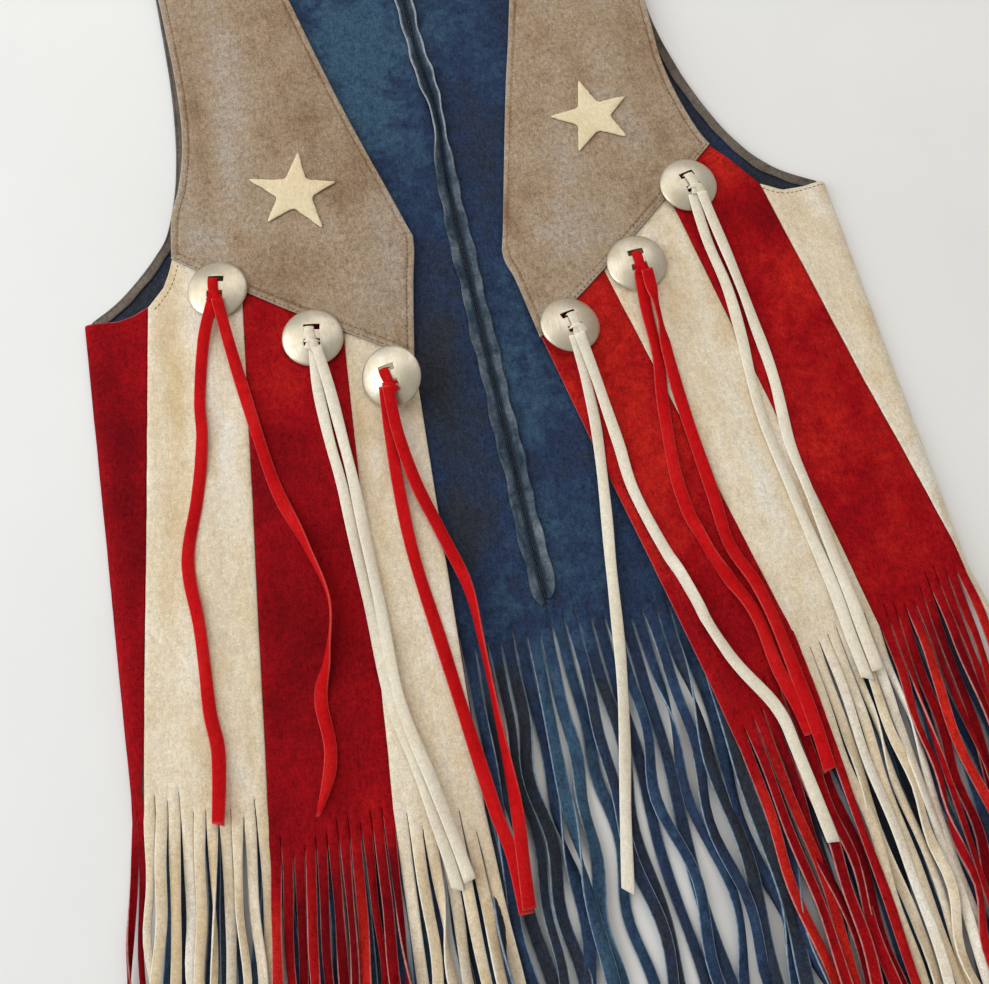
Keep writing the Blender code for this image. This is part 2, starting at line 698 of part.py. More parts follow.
def lace_loop(name, seat, concho, material, collection):
    """The stretch of a lace that comes out of the upper slot, over the bar and into the lower one."""
    crown = dome(SLOT_OFFSET)
    outside = SLOT_OFFSET + LACE / 2
    rise = [(outside, crown - 2.6), (outside, crown + 0.4)]
    rise += [(outside - 1.2, crown + 1.7), (2.0, dome(0.0) + 2.1)]
    section = rise + [(-y, z) for y, z in reversed(rise)]
    place_in = seat_matrix(seat, concho.turn)
    width = min(LACE_WIDTH, SLOT_LENGTH - 1.4)
    mesh, vertices = grid(shares(1), shares(len(section) - 1), lambda across, along: (0.0, 0.0, 0.0))
    for (column, row), vertex in vertices.items():
        y, z = section[-1 - row]
        vertex.co = place_in @ (Vector(((column - 0.5) * width, y, z)) * MM)
    return solid(name, mesh, LACE, material, collection)


def fringe_cover(front, out, up):
    """Whether the fringe of a front lies under a plan point below its hem."""
    last = front.stripes[-1]
    drift = math.tan(math.radians(last.flow_inner)) * (last.hem_inner_up - up)
    return up < last.hem_inner_up + 70.0 and out > last.hem_inner + drift - FRONT_SWAY - 1.0


def ground(front, seats, x, y):
    """The highest thing that a lace can lie on at a plan point."""
    out = front.side * x
    height = SUEDE
    if y < max(BACK_HEM[front.name]) + 4.0:
        height = BACK_LEVEL + FRINGE_DEPTH
    if out > front_edge_out(front, y) - 1.0:
        height = max(height, front_height(front, out, y))
    hem_up = -1000.0
    for stripe in front.stripes:
        if stripe.hem_inner - 2.0 <= out <= stripe.hem_outer + 2.0:
            hem_up = max(hem_up, stripe.hem_inner_up, stripe.hem_outer_up)
    if fringe_cover(front, out, y) and y < max(hem_up, front.stripes[-1].hem_inner_up) + 6.0:
        height = max(height, FRONT_LEVEL + FRINGE_DEPTH)
    for seat in seats:
        radius = math.hypot(x - seat.x, y - seat.y)
        if radius < CONCHO_RADIUS + 1.0:
            upright = 1.0 / math.sqrt(1.0 + seat.slope_x ** 2 + seat.slope_y ** 2)
            rise = dome(min(radius, CONCHO_RADIUS)) * upright
            foot_x = x - seat.x + seat.slope_x * rise
            foot_y = y - seat.y + seat.slope_y * rise
            climb = seat.slope_x * foot_x + seat.slope_y * foot_y
            reach = math.sqrt(foot_x ** 2 + foot_y ** 2 + climb ** 2)
            height = max(height, seat.height + climb + dome(min(reach, CONCHO_RADIUS)) * upright)
    return height


def lace_path(front, seats, rows, under):
    """Points along a lace's upper side: its route in plan, draped over the vest and the tail under it."""
    fine = LACE_STEPS * 5
    route = [curve_point(rows, share) for share in shares(fine)]
    reach = LACE_WIDTH / 2 + 1.3
    floor = []
    for index, (out, up) in enumerate(route):
        ahead = route[min(index + 1, fine)]
        behind = route[max(index - 1, 0)]
        run = Vector((ahead[0] - behind[0], ahead[1] - behind[1])).normalized()
        height = 0.0
        for step in (-reach, -reach / 2, 0.0, reach / 2, reach):
            x = front.side * (out - run.y * step)
            y = up + run.x * step
            height = max(height, ground(front, seats, x, y))
            for point in under:
                if math.hypot(point.x - x, point.y - y) < reach:
                    height = max(height, point.z)
        floor.append(height + SEAM_GAP + LACE)
    heights = list(floor)
    for _ in range(60):
        for index in range(1, fine):
            heights[index] = max(floor[index], (heights[index - 1] + heights[index + 1]) / 2 - LACE_SAG)
    return [Vector((front.side * out, up, height)) for (out, up), height in zip(route, heights)]


def lace_tail(name, path, material, collection):
    """One free end of a lace, a flat strip along its path."""
    def place(across, along):
        index = round((1.0 - along) * (len(path) - 1))
        run = path[min(index + 1, len(path) - 1)] - path[max(index - 1, 0)]
        side = Vector((-run.y, run.x, 0.0)).normalized()
        return tuple(path[index] + side * LACE_WIDTH * (across - 0.5))

    return sheet(name, shares(1), shares(LACE_STEPS), place, LACE, material, collection)


def trim(front, profile, slots, materials, collection, cutters):
    """The star, conchos and laces of one front."""
    star(front, materials, collection)
    seats = [concho_seat(front, concho) for concho in front.conchos]
    for number, (concho, seat) in enumerate(zip(front.conchos, seats), start=1):
        end = f"{front.name}_{number}"
        add_concho("concho_" + end, seat, concho, profile, slots, materials, collection, cutters)
        lace = materials[concho.lace]
        lace_loop(f"lace_{end}_loop", seat, concho, lace, collection)
        path_a = lace_path(front, seats, concho.tail_a, [])
        path_b = lace_path(front, seats, concho.tail_b, path_a)
        lace_tail(f"lace_{end}_a", path_a, lace, collection)
        lace_tail(f"lace_{end}_b", path_b, lace, collection)


def main():
    """Build every piece of the vest."""
    clear_scene()
    vest = new_collection(NAME)
    cutters = new_collection("concho_cutters")
    materials = make_materials()
    profile = concho_profile()
    slots = slot_cutter()
    for front in FRONTS:
        back_half(front, materials, vest)
        seam_allowance(front, materials, vest)
        armhole_facing(front, materials, vest)
        back_fringe(front, materials, vest)
        yoke(front, materials, vest)
        for number, stripe in enumerate(front.stripes, start=1):
            stripe_panel(front, number, stripe, materials, vest)
            front_fringe(front, number, stripe, materials, vest)
        trim(front, profile, slots, materials, vest, cutters)


main()
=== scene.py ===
"""Looks of the fringed suede vest: napped panels, cut fringe, topstitching, stars, conchos and laces.

The file is laid out as an add-on and run as a script. Plan sizes are in millimetres and are drawn from the
centre-back seam at chest height: "out" runs from the seam to either side, and "up" runs to the neck.
Meshes are in metres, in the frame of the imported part.
"""

import math
import random
from collections import namedtuple

import bpy
import numpy as np
from bpy.props import FloatProperty, FloatVectorProperty, PointerProperty
from mathutils import Matrix, Vector


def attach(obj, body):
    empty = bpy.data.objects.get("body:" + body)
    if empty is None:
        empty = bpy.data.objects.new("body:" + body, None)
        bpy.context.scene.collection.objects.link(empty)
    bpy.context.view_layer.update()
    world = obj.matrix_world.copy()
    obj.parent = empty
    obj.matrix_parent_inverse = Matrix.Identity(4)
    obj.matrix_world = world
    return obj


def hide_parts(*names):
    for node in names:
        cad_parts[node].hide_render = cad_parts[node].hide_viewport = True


bl_info = {
    "name": "Fringed Suede Vest",
    "version": (1, 0, 0),
    "blender": (4, 5, 0),
    "location": "3D View > Sidebar > Vest",
    "description": "Builds the suede, fringe, stitching, conchos and laces of a vest that lies flat",
    "category": "Object",
}

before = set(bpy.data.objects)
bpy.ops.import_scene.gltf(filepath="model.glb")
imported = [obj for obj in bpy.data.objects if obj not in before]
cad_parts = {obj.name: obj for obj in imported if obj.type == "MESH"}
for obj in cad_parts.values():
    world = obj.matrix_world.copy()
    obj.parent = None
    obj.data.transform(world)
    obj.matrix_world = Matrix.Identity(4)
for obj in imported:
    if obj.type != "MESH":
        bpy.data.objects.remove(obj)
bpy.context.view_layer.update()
BODY = "root"
MM = 0.001

# Plan and heights of the vest
CHEST_Y = 174.4
HALF_CHEST = 244.0
SUEDE = 1.4
SEAM_GAP = 0.3
LAP = 7.0
LAP_GAP = 0.6
DIAGONAL_BOW = -3.5
SHOULDER_TIP = (172.0, 252.0)
NECK_POINT = (93.0, 278.0)
BACK_NECK_UP = 255.0
BACK_SIDE = 241.4
FACING_WIDTH = 7.0
ALLOWANCE_WIDTH = 7.0
TRIM = 1.1
ROLL = 10.0
ROLL_EDGE = 1.3
CROWN = 2.4
EDGE_DROOP = 1.6
EDGE_REACH = 12.0

# Fringe
STRIP = 5.0
CUT = 0.4
NARROW_STRAND = 4.0
FRONT_STRAND = 280.0
BACK_STRAND = 330.0
BACK_STRANDS = 30
BACK_FRINGE_OUT = 226.0
BACK_LACED = (-2.0, 42.0)
BACK_FLOW_CENTRE = 0.8
BACK_FLOW_SIDE = 5.0
BACK_SWAY = 5.5
FRONT_SWAY = 4.0
LEVEL_STEP = 1.9
LEVEL_ORDER = (0, 2, 1)
BACK_LEVEL = 0.5
FRONT_LEVEL = 6.5
FRINGE_DEPTH = 2 * LEVEL_STEP + SUEDE + 0.4
STRAND_COLUMNS = (0.0, 0.11, 0.5, 0.89, 1.0)
ROOT_STATIONS = (4.0, 9.0, 15.0, 22.0, 30.0)
STRAND_START = 38.0
STRAND_STEP = 7.5
STRAND_TONES = (-1.3, -0.9, -0.5, 0.1, 0.6, 1.1)
STRAND_WIDTHS = (0.99, 0.97, 0.94, 0.90, 0.84, 0.68)
COVERED_LIFE = 0.2
FRONT_TURNED = 0.3
LIVELY_FRINGES = {"fringe_right_2": 0.7}
FRONT_WANDER = 1.5
BACK_TURNED = 0.50
BACK_SLIM = -0.06
BACK_WANDER = 2.4
STRIPE_ROWS = 104
BACK_ROWS = 58
SHOULDER_ROWS = 12
DEEP_CREAM = 0.4
SIDE_RAW = 0.5
FRONT_EDGE_RAW = 0.6
SIDE_COLUMNS = (0.0, 0.05, 0.14, 0.26, 0.4, 0.54, 0.68, 0.8, 0.88, 0.94, 0.98, 1.0)

# Conchos, laces and stars
CONCHO_RADIUS = 19.0
CONCHO_RISE = 5.2
CONCHO_SHEET = 1.2
CONCHO_SIDES = 72
SLOT_LENGTH = 10.0
SLOT_WIDTH = 4.0
SLOT_OFFSET = 5.0
LACE_WIDTH = 6.2
LACE = 1.4
LACE_STEPS = 90
LACE_SAG = 0.01
LACE_ROUNDS = 60
LACE_CLEAR = 1.3
LACE_ARCH = 1.2
LACE_LEAN = 14.0
LACE_LONG = 320.0
KNOT_STEPS = 26
KNOT_SHEET = 0.8
STAR_RADIUS = 29.0
STAR_WAIST = 0.40
CONCHO_RIM = 0.55
CONCHO_WALL = 0.9
CONCHO_WEAR = 0.22
CONCHO_BEVEL_ANGLE = 40.0
CONCHO_SMOOTH_ANGLE = 35.0
SLOT_DEPTH = 30.0
CONCHO_RINGS = (18.6, 17.4, 15.6, 13.4, 11.0, 8.6, 6.2, 3.8, 1.6)
LACE_FULL = {"red": 1.2, "cream": 1.08}

# Sewing: distances of mesh columns from a sewn edge, rows of stitches, and the form of one stitch
NEAR_EDGE = (0.0, 0.5, 1.2, 2.1, 3.2, 4.0, 4.5, 5.0, 5.8, 7.2)
SEAM_ROW = 1.3
SECOND_ROW = 0.5
STITCH_SIDES = 6
STITCH_STATIONS = ((-1.0, 0.35, -0.9), (-0.62, 1.0, 0.0), (0.0, 1.0, 0.25), (0.62, 1.0, 0.0),
                   (1.0, 0.35, -0.9))

# Camera: place, tilt, and the picture's width and focal length in pixels
CAMERA_PLACE = (-0.0540, -0.1786, 0.5677)
CAMERA_TILT = (math.radians(18.0), 0.0, math.radians(-12.27))
PHOTO_WIDE = 989.0
FOCAL_PIXELS = 1000.0
SENSOR = 36.0

# Floor and the light all round
FLOOR_SIZE = 8.0
FLOOR_CUTS = 7
FLOOR_DROP = 0.0002
SKY_TINT = (1.0, 0.98, 0.95, 1.0)

EdgePoint = namedtuple("EdgePoint", "out up")
Level = namedtuple("Level", "up height")
Stripe = namedtuple("Stripe", "colour top_outer top_inner hem_outer hem_outer_up hem_inner hem_inner_up "
                              "strands flow_outer flow_inner")
Fold = namedtuple("Fold", "start_out start_up end_out end_up reach rise")
Concho = namedtuple("Concho", "out up turn lean_x lean_y lace tail_a tail_b")
Star = namedtuple("Star", "out up lean reaches")
Front = namedtuple("Front", "name side armhole underarm yoke_edge back_armhole stripes folds conchos star")
Seat = namedtuple("Seat", "x y height slope_x slope_y")
Strand = namedtuple("Strand", "root half angle length sway wave phase level width")
Fringe = namedtuple("Fringe", "name strands flow_left flow_right long base sway turn free_out turned slim "
                              "wander laced")
Twist = namedtuple("Twist", "share reach degrees")
SuedeLook = namedtuple("SuedeLook", "colour deep pale edge patch bands mottle grain speck")
Spot = namedtuple("Spot", "x y reach_x reach_y amount")
Hem = namedtuple("Hem", "thread low high inset")
Light = namedtuple("Light", "name place size share tint")

# Soft lights: place, side, power as a share of the key light's, and tint
LIGHTS = (
    Light("key", (-1.75, 0.45, 1.35), 2.8, 1.0, (0.98, 0.99, 1.0)),
    Light("fill", (0.4, 1.2, 1.6), 2.0, 0.35, (1.0, 0.98, 0.95)),
    Light("window", (-1.7, 0.1, 0.7), 0.7, 0.2, (0.66, 0.86, 1.0)),
)

# Height of the stripes' outer face over the floor, by height on the vest
FRONT_LEVELS = (
    Level(-900.0, 8.4),
    Level(-245.0, 8.4),
    Level(-150.0, 6.0),
    Level(30.0, 5.4),
    Level(150.0, 4.4),
    Level(300.0, 1.7),
)

# Hem of the back, from the centre seam to the side
BACK_HEM = {"left": (-252.0, -266.0), "right": (-249.0, -270.0)}

# Edges, folds and lace routes of each front: out, up
LEFT_FRONT = Front(
    name="left",
    side=-1,
    armhole=(EdgePoint(183.2, 20.8), EdgePoint(179.4, 51), EdgePoint(172, 74), EdgePoint(166, 109),
             EdgePoint(165, 160), EdgePoint(169, 232), EdgePoint(*SHOULDER_TIP)),
    underarm=(EdgePoint(183.2, 20.8), EdgePoint(186, 12), EdgePoint(191, 2), EdgePoint(201, -9),
              EdgePoint(211, -13.5), EdgePoint(222, -15), EdgePoint(244, -12)),
    yoke_edge=(EdgePoint(45, -79), EdgePoint(36, -29), EdgePoint(30, 2), EdgePoint(33, 19),
               EdgePoint(54, 100), EdgePoint(67, 156), EdgePoint(79, 212), EdgePoint(*NECK_POINT)),
    back_armhole=(EdgePoint(240, -11), EdgePoint(224, -1), EdgePoint(209, 12), EdgePoint(195, 28),
                  EdgePoint(185, 45), EdgePoint(175, 85), EdgePoint(170, 150), EdgePoint(*SHOULDER_TIP)),
    stripes=(
        Stripe("red", 244.0, 202.0, 244.0, -301, 236.0, -301, 2, 8.0, 5.0),
        Stripe("cream", 202.0, 142.0, 236.0, -302, 172.0, -319, 10, 6.0, 4.0),
        Stripe("red", 142.0, 84.5, 172.0, -340, 106.0, -335, 11, 7.0, 2.5),
        Stripe("cream", 84.5, 45.0, 106.0, -338, 58.0, -349, 7, 3.0, -2.0),
    ),
    folds=(
        Fold(146, 190, 152, 30, 16, -1.1),
        Fold(100, 130, 66, -20, 22, 1.3),
        Fold(172, -50, 205, -290, 13, 1.3),
        Fold(96, -120, 104, -320, 10, -0.9),
    ),
    conchos=(
        Concho(156.9, -8.7, -12, 0.0, 0.0, "red",
               ((160, -18), (169, -41), (177, -80), (179, -107), (186, -143),
                (196, -181), (194, -220), (194, -265), (192, -290), (197, -326)),
               ((157, -18), (154, -51), (147, -107), (140, -148), (129, -185),
                (121, -220), (127, -250), (134, -272), (133, -302), (142, -333))),
        Concho(103.8, -54.4, -8, 0.0, 0.0, "cream",
               ((104, -64), (106, -89), (105, -123), (102, -157), (99, -222),
                (97, -281), (88, -324), (82, -364), (80, -384)),
               ((102, -64), (99, -91), (97, -124), (95, -158), (93, -222),
                (92, -281), (82, -330), (76, -362), (73, -381))),
        Concho(61.0, -93.2, 2, 0.42, 0.25, "red",
               ((66, -101), (68.4, -126), (70, -164), (69, -205), (63, -258),
                (58, -305), (53, -350), (49, -374), (48, -403)),
               ((64, -101), (64, -128), (59.5, -160), (51, -192), (43, -226),
                (42, -260), (42, -310), (42, -352), (44, -378), (46, -401))),
    ),
    star=Star(98.7, 51.0, -12.4, (1.08, 1.16, 0.97, 1.18, 0.97)),
)
RIGHT_FRONT = Front(
    name="right",
    side=1,
    armhole=(EdgePoint(175.4, 31.4), EdgePoint(170.4, 45), EdgePoint(165, 71), EdgePoint(162, 103),
             EdgePoint(164, 150), EdgePoint(168, 215), EdgePoint(*SHOULDER_TIP)),
    underarm=(EdgePoint(175.4, 31.4), EdgePoint(184, 20.5), EdgePoint(191, 10), EdgePoint(200, -4),
              EdgePoint(213, -11.5), EdgePoint(228, -11.5), EdgePoint(244, -8.8)),
    yoke_edge=(EdgePoint(34, -82), EdgePoint(28, -40), EdgePoint(24, -20), EdgePoint(29, 3),
               EdgePoint(52, 100), EdgePoint(65, 150), EdgePoint(78, 204), EdgePoint(*NECK_POINT)),
    back_armhole=(EdgePoint(240.5, -8), EdgePoint(226, 1), EdgePoint(212, 12), EdgePoint(199, 29),
                  EdgePoint(186, 58), EdgePoint(174, 100), EdgePoint(167, 155), EdgePoint(*SHOULDER_TIP)),
    stripes=(
        Stripe("cream", 244.0, 200.0, 244.0, -266, 239.0, -266, 2, 8.0, 5.0),
        Stripe("red", 200.0, 138.0, 239.0, -267, 180.0, -291, 10, 1.0, -1.0),
        Stripe("cream", 138.0, 83.0, 179.5, -288, 132.0, -292, 8, 0.5, 2.5),
        Stripe("red", 83.0, 34.0, 132.0, -295, 83.0, -334, 8, 2.5, 4.5),
    ),
    folds=(
        Fold(120, 160, 130, 20, 20, 1.2),
        Fold(112, -90, 150, -270, 14, 1.3),
        Fold(160, -60, 196, -250, 12, -0.9),
        Fold(214, -30, 226, -150, 9, -0.8),
    ),
    conchos=(
        Concho(152.4, 2.5, 14, 0.0, 0.0, "cream",
               ((152, -8), (153, -40), (156, -74), (155, -110), (152, -160),
                (155, -213), (159, -265), (160, -300), (162, -326)),
               ((157, -8), (163, -61), (166, -110), (166, -143), (163, -181),
                (164, -214), (166, -265), (167, -300), (168, -323))),
        Concho(104.8, -46.1, 2, 0.0, 0.0, "red",
               ((104, -55), (102, -80), (101, -112), (95, -150), (91, -195),
                (97, -238), (112, -275), (115, -310), (120, -333), (122, -348)),
               ((108, -55), (108, -86), (107, -115), (107, -150), (109, -204),
                (110, -236), (118, -262), (122, -295), (125, -335), (126, -368))),
        Concho(53.2, -80.0, 15, -0.20, -0.09, "cream",
               ((53, -90), (54, -116), (53, -150), (47, -195), (40, -237),
                (33, -285), (25, -325), (15, -365), (6, -404)),
               ((56, -90), (60, -122), (63, -160), (65, -195), (78, -249),
                (91, -296), (108, -330), (112, -355), (117, -403))),
    ),
    star=Star(104.3, 67.6, 4.2, (1.08, 1.00, 1.03, 0.98, 0.96)),
)
FRONTS = (LEFT_FRONT, RIGHT_FRONT)

# Where a lace turns on its edge: share of its length, reach of the turn as a share, angle
LACE_TWISTS = {
    "left_1_b": Twist(0.61, 0.17, 68.0),
    "left_3_b": Twist(0.62, 0.25, 56.0),
    "right_2_a": Twist(0.62, 0.064, 55.0),
    "right_2_b": Twist(0.10, 0.046, -50.0),
    "right_3_b": Twist(0.52, 0.055, 48.0),
}

# Lace ends that are cut to a point: which ones, from which share of the length, and how much goes
LACE_POINTS = ("left_1_b",)
LACE_POINT_START = 0.93
LACE_POINT_SLIM = 0.75

# How far to the right of its slot's middle a lace comes up
KNOT_SHIFTS = {"left_1": -1.4, "left_2": -1.6, "left_3": -1.5, "right_1": 0.4, "right_2": 0.2, "right_3": 1.5}

# Stitching along the underarm edges: thread, from and to which place out, distance from the edge
UNDERARM_HEMS = {
    "left": (Hem("brown", 184.0, 201.0, 4.5),),
    "right": (Hem("red", 177.0, 199.0, 4.5), Hem("brown", 201.0, 241.0, 2.6)),
}

# Stitching along a front edge: thread, from and to which place up, distance from the edge
EDGE_HEMS = {"left": (), "right": (Hem("red", -324.0, -175.0, 5.6),)}

# Paler and deeper places of the suedes: plan place, reach across and along, and how pale (+) or deep (-); the
# spots marked below are painted shade
WEAR_AND_SHADE = {
    "navy": (
        Spot(-45, 170, 42, 60, 1.1), Spot(-36, 100, 20, 50, 0.6), Spot(26, 90, 24, 90, -0.4),
        # Painted shade: Spot(-34, -95) on the next line and Spot(-34, -198) below it darken the back beside
        # the left front's edge.
        Spot(-34, -95, 24, 90, -1.0), Spot(18, -90, 20, 50, 0.7), Spot(-18, -240, 26, 36, 0.6),
        Spot(-34, -198, 16, 34, -0.7),
        Spot(-84, -240, 28, 60, -0.9), Spot(30, 170, 26, 40, 0.4), Spot(70, -160, 30, 60, -0.3),
        # Painted shade: the three spots on the next line darken the back in both underarm gaps and along the
        # right armhole beside the yoke's edge.
        Spot(212, 2, 36, 20, -1.5), Spot(-212, 2, 36, 20, -1.5), Spot(172, 70, 14, 60, -1.3),
    ),
    "taupe": (
        Spot(-168, 70, 8, 60, 0.4), Spot(-152, 28, 14, 16, 0.6), Spot(-140, 26, 6, 11, -1.1),
        Spot(-104, -4, 40, 18, -0.5), Spot(-44, 8, 18, 30, 0.6), Spot(-76, 42, 15, 14, -0.6),
        Spot(-130, 118, 18, 26, 0.3), Spot(-85, 127, 36, 40, -0.3), Spot(32, 14, 4, 15, -1.3),
        Spot(62, -16, 22, 14, 0.5), Spot(105, 104, 8, 14, -0.8), Spot(128, 56, 10, 24, 0.5),
        Spot(150, 120, 18, 40, -0.3), Spot(80, 60, 14, 30, 0.3), Spot(-129, 150, 9, 60, 0.7),
        Spot(-138, 76, 8, 44, 0.7), Spot(-155, 120, 9, 60, -0.55), Spot(-98, 170, 14, 40, -0.3),
    ),
    "red": (
        # Painted shade: the first spot, Spot(-228, -110), darkens the far-left red stripe where the left side
        # rolls down towards the floor.
        Spot(-228, -110, 22, 170, -0.8), Spot(-132, -200, 40, 90, -0.75), Spot(-128, -40, 26, 30, 0.2),
        Spot(-148, -330, 40, 70, -0.4), Spot(70, -100, 36, 60, 0.8), Spot(72, -190, 34, 70, 0.35),
        Spot(90, -290, 40, 50, -0.3), Spot(180, 18, 14, 17, 0.9), Spot(196, -24, 16, 16, -0.6),
        Spot(198, -76, 15, 28, 0.6), Spot(190, -170, 40, 60, 0.3),
    ),
    "cream": (
        Spot(-192, -40, 9, 80, -0.7), Spot(-167, -75, 11, 70, 0.6), Spot(-205, -180, 10, 70, -0.4),
        Spot(-86, -125, 5, 60, -0.8), Spot(-62, -115, 7, 60, 0.5), Spot(-66, -230, 14, 60, 0.3),
        Spot(119, -80, 5, 16, -0.8), Spot(135, -160, 12, 60, 0.4), Spot(232, -40, 18, 36, 0.45),
        Spot(250, -200, 22, 90, 0.9),
    ),
}


def colour(name, description, default):
    """A colour that a user may change."""
    return FloatVectorProperty(name=name, description=description, default=default, subtype="COLOR",
                               size=3, min=0.0, max=1.0)


def length(name, description, default):
    """A length that a user may change."""
    return FloatProperty(name=name, description=description, default=default, min=0.0, unit="LENGTH",
                         subtype="DISTANCE", precision=5)


class VestColours(bpy.types.PropertyGroup):
    """Colours of the suede, thread, metal and floor."""

    navy: colour("Navy suede", "Back and its fringe", (0.024, 0.041, 0.088))
    red: colour("Red suede", "Red stripes and their fringe", (0.320, 0.005, 0.008))
    cream: colour("Cream suede", "Cream stripes and their fringe", (0.750, 0.630, 0.455))
    taupe: colour("Taupe suede", "Yokes", (0.365, 0.265, 0.175))
    # The facing is the yokes' taupe suede, painted darker and greyer as shade for its place under the front's
    # armhole edge.
    facing: colour("Facing suede", "Bands inside the back's armholes", (0.140, 0.112, 0.090))
    seam: colour("Seam suede", "Turned-open allowances of the back seam", (0.030, 0.050, 0.074))
    star: colour("Star suede", "Star patches", (0.785, 0.650, 0.420))
    lace_red: colour("Red lace", "Red laces", (0.500, 0.006, 0.008))
    lace_cream: colour("Cream lace", "Cream laces", (0.780, 0.700, 0.550))
    thread_brown: colour("Brown thread", "Topstitching of the yokes", (0.170, 0.105, 0.070))
    thread_red: colour("Red thread", "Topstitching of the red underarm and front edge", (0.090, 0.004, 0.006))
    thread_navy: colour("Navy thread", "Stitching of the back seam", (0.012, 0.014, 0.022))
    nickel: colour("Nickel", "Conchos", (0.690, 0.630, 0.515))
    floor: colour("Floor", "Pale floor", (0.850, 0.840, 0.815))


class VestSizes(bpy.types.PropertyGroup):
    """Sizes of the sewing and of the fringe's curl."""

    stitch_pitch: length("Stitch pitch", "Distance from one stitch to the next", 0.0032)
    stitch_length: length("Stitch length", "Length of thread that shows in one stitch", 0.0023)
    thread: length("Thread", "Thickness of the sewing thread", 0.0005)
    topstitch: length("Topstitch inset", "Distance of the topstitching from an edge", 0.0045)
    ripple: length("Ripple", "Unevenness of the suede as it lies", 0.00022)
    nap: length("Nap", "Depth of the suede's nap in its finish", 0.0006)
    strand_twist: FloatProperty(name="Strand twist", description="How far a strand tilts about its length",
                                default=math.radians(34.0), subtype="ANGLE", unit="ROTATION")
    key_power: FloatProperty(name="Key light", description="Power of the large soft light", default=36.0,
                             min=0.0, unit="POWER")
    sky: FloatProperty(name="Sky light", description="Strength of the even light all round", default=0.41,
                       min=0.0, subtype="FACTOR")


# Plan functions, which take single numbers and arrays

def mix(start, end, share):
    """Straight mix of two numbers."""
    return start + (end - start) * share


def ease(start, end, value):
    """Smooth step from 0 at start to 1 at end."""
    share = np.clip((value - start) / (end - start), 0.0, 1.0)
    return share * share * (3.0 - 2.0 * share)


def row_value(rows, at):
    """Second column of a table at a value of its rising first column, eased between rows."""
    result = rows[-1][1]
    for low, high in reversed(list(zip(rows, rows[1:]))):
        result = np.where(at <= high[0], mix(low[1], high[1], ease(low[0], high[0], at)), result)
    return result


def curve_point(rows, share):
    """Point at a share of the length of a smooth curve through the rows."""
    lengths = [math.dist(a[:2], b[:2]) for a, b in zip(rows, rows[1:])]
    place = share * sum(lengths)
    index = 0
    while index < len(lengths) - 1 and place > lengths[index]:
        place -= lengths[index]
        index += 1
    t = min(place / lengths[index], 1.0)
    before = rows[max(index - 1, 0)]
    after = rows[min(index + 2, len(rows) - 1)]
    low = rows[index]
    high = rows[index + 1]
    return tuple(0.5 * (2 * b + (c - a) * t + (2 * a - 5 * b + 4 * c - d) * t * t
                        + (3 * b - a - 3 * c + d) * t ** 3)
                 for a, b, c, d in zip(before, low, high, after))


def curve_points(rows, shares):
    """Points at shares of the length of a smooth curve through the rows."""
    return np.array([curve_point(rows, share) for share in shares])


def front_edge_out(front, up):
    """How far out the free front edge lies at a height on the vest."""
    low = front.yoke_edge[0]
    last = front.stripes[-1]
    above = np.interp(up, [point.up for point in front.yoke_edge], [point.out for point in front.yoke_edge])
    below = mix(last.top_inner, last.hem_inner, (low.up - up) / (low.up - last.hem_inner_up))
    return np.where(up >= low.up, above, below)


def fold_rise(fold, out, up):
    """Rise of one soft fold at a plan point."""
    run_out = fold.end_out - fold.start_out
    run_up = fold.end_up - fold.start_up
    along = ((out - fold.start_out) * run_out + (up - fold.start_up) * run_up) / (run_out ** 2 + run_up ** 2)
    along = np.clip(along, 0.0, 1.0)
    away = np.hypot(out - fold.start_out - along * run_out, up - fold.start_up - along * run_up)
    return fold.rise * np.exp(-(away / fold.reach) ** 2)


def front_height(front, out, up):
    """Outer face of the stripes over the floor."""
    inner = front_edge_out(front, up)
    share = np.clip((out - inner) / (HALF_CHEST - inner), 0.0, 1.0)
    over_back = ease(-260.0, -180.0, up)
    height = row_value(FRONT_LEVELS, up)
    height = height + CROWN * 4.0 * share * (1.0 - share) * mix(0.4, 1.0, over_back)
    height = height + sum(fold_rise(fold, out, up) for fold in front.folds)
    droop = np.exp(-np.maximum(out - inner, 0.0) / EDGE_REACH)
    height = height - EDGE_DROOP * droop * over_back * ease(300.0, 150.0, up)
    inset = np.clip((HALF_CHEST - out) / ROLL, 0.0, 1.0)
    return mix(ROLL_EDGE, height, np.sqrt(1.0 - (1.0 - inset) ** 2))


def yoke_height(front, out, up):
    """Outer face of a yoke, which lies on the stripes."""
    return front_height(front, out, up) + SUEDE + LAP_GAP


def diagonal_up(front, out):
    """Lower edge of a yoke."""
    outer = front.underarm[0]
    inner = front.yoke_edge[0]
    share = (out - inner.out) / (outer.out - inner.out)
    return mix(inner.up, outer.up, share) + DIAGONAL_BOW * np.sin(math.pi * share)


def stripe_top_up(front, out):
    """Upper edge of the stripes: the underarm, then under the yoke."""
    corner = front.underarm[0]
    underarm = np.interp(out, [point.out for point in front.underarm], [point.up for point in front.underarm])
    lapped = diagonal_up(front, out) + LAP * ease(0.0, 7.0, corner.out - out)
    return np.where(out >= corner.out, underarm, lapped)


def ripple(x, y, seed, wave):
    """Soft unevenness between about -1 and 1 over the plan."""
    dice = random.Random(seed)
    total = 0.0
    for _ in range(8):
        angle = dice.uniform(0.0, math.tau)
        long = wave * dice.uniform(0.6, 1.7)
        phase = dice.uniform(0.0, math.tau)
        total = total + np.sin(math.tau * (x * math.cos(angle) + y * math.sin(angle)) / long + phase)
    return total / 4.0


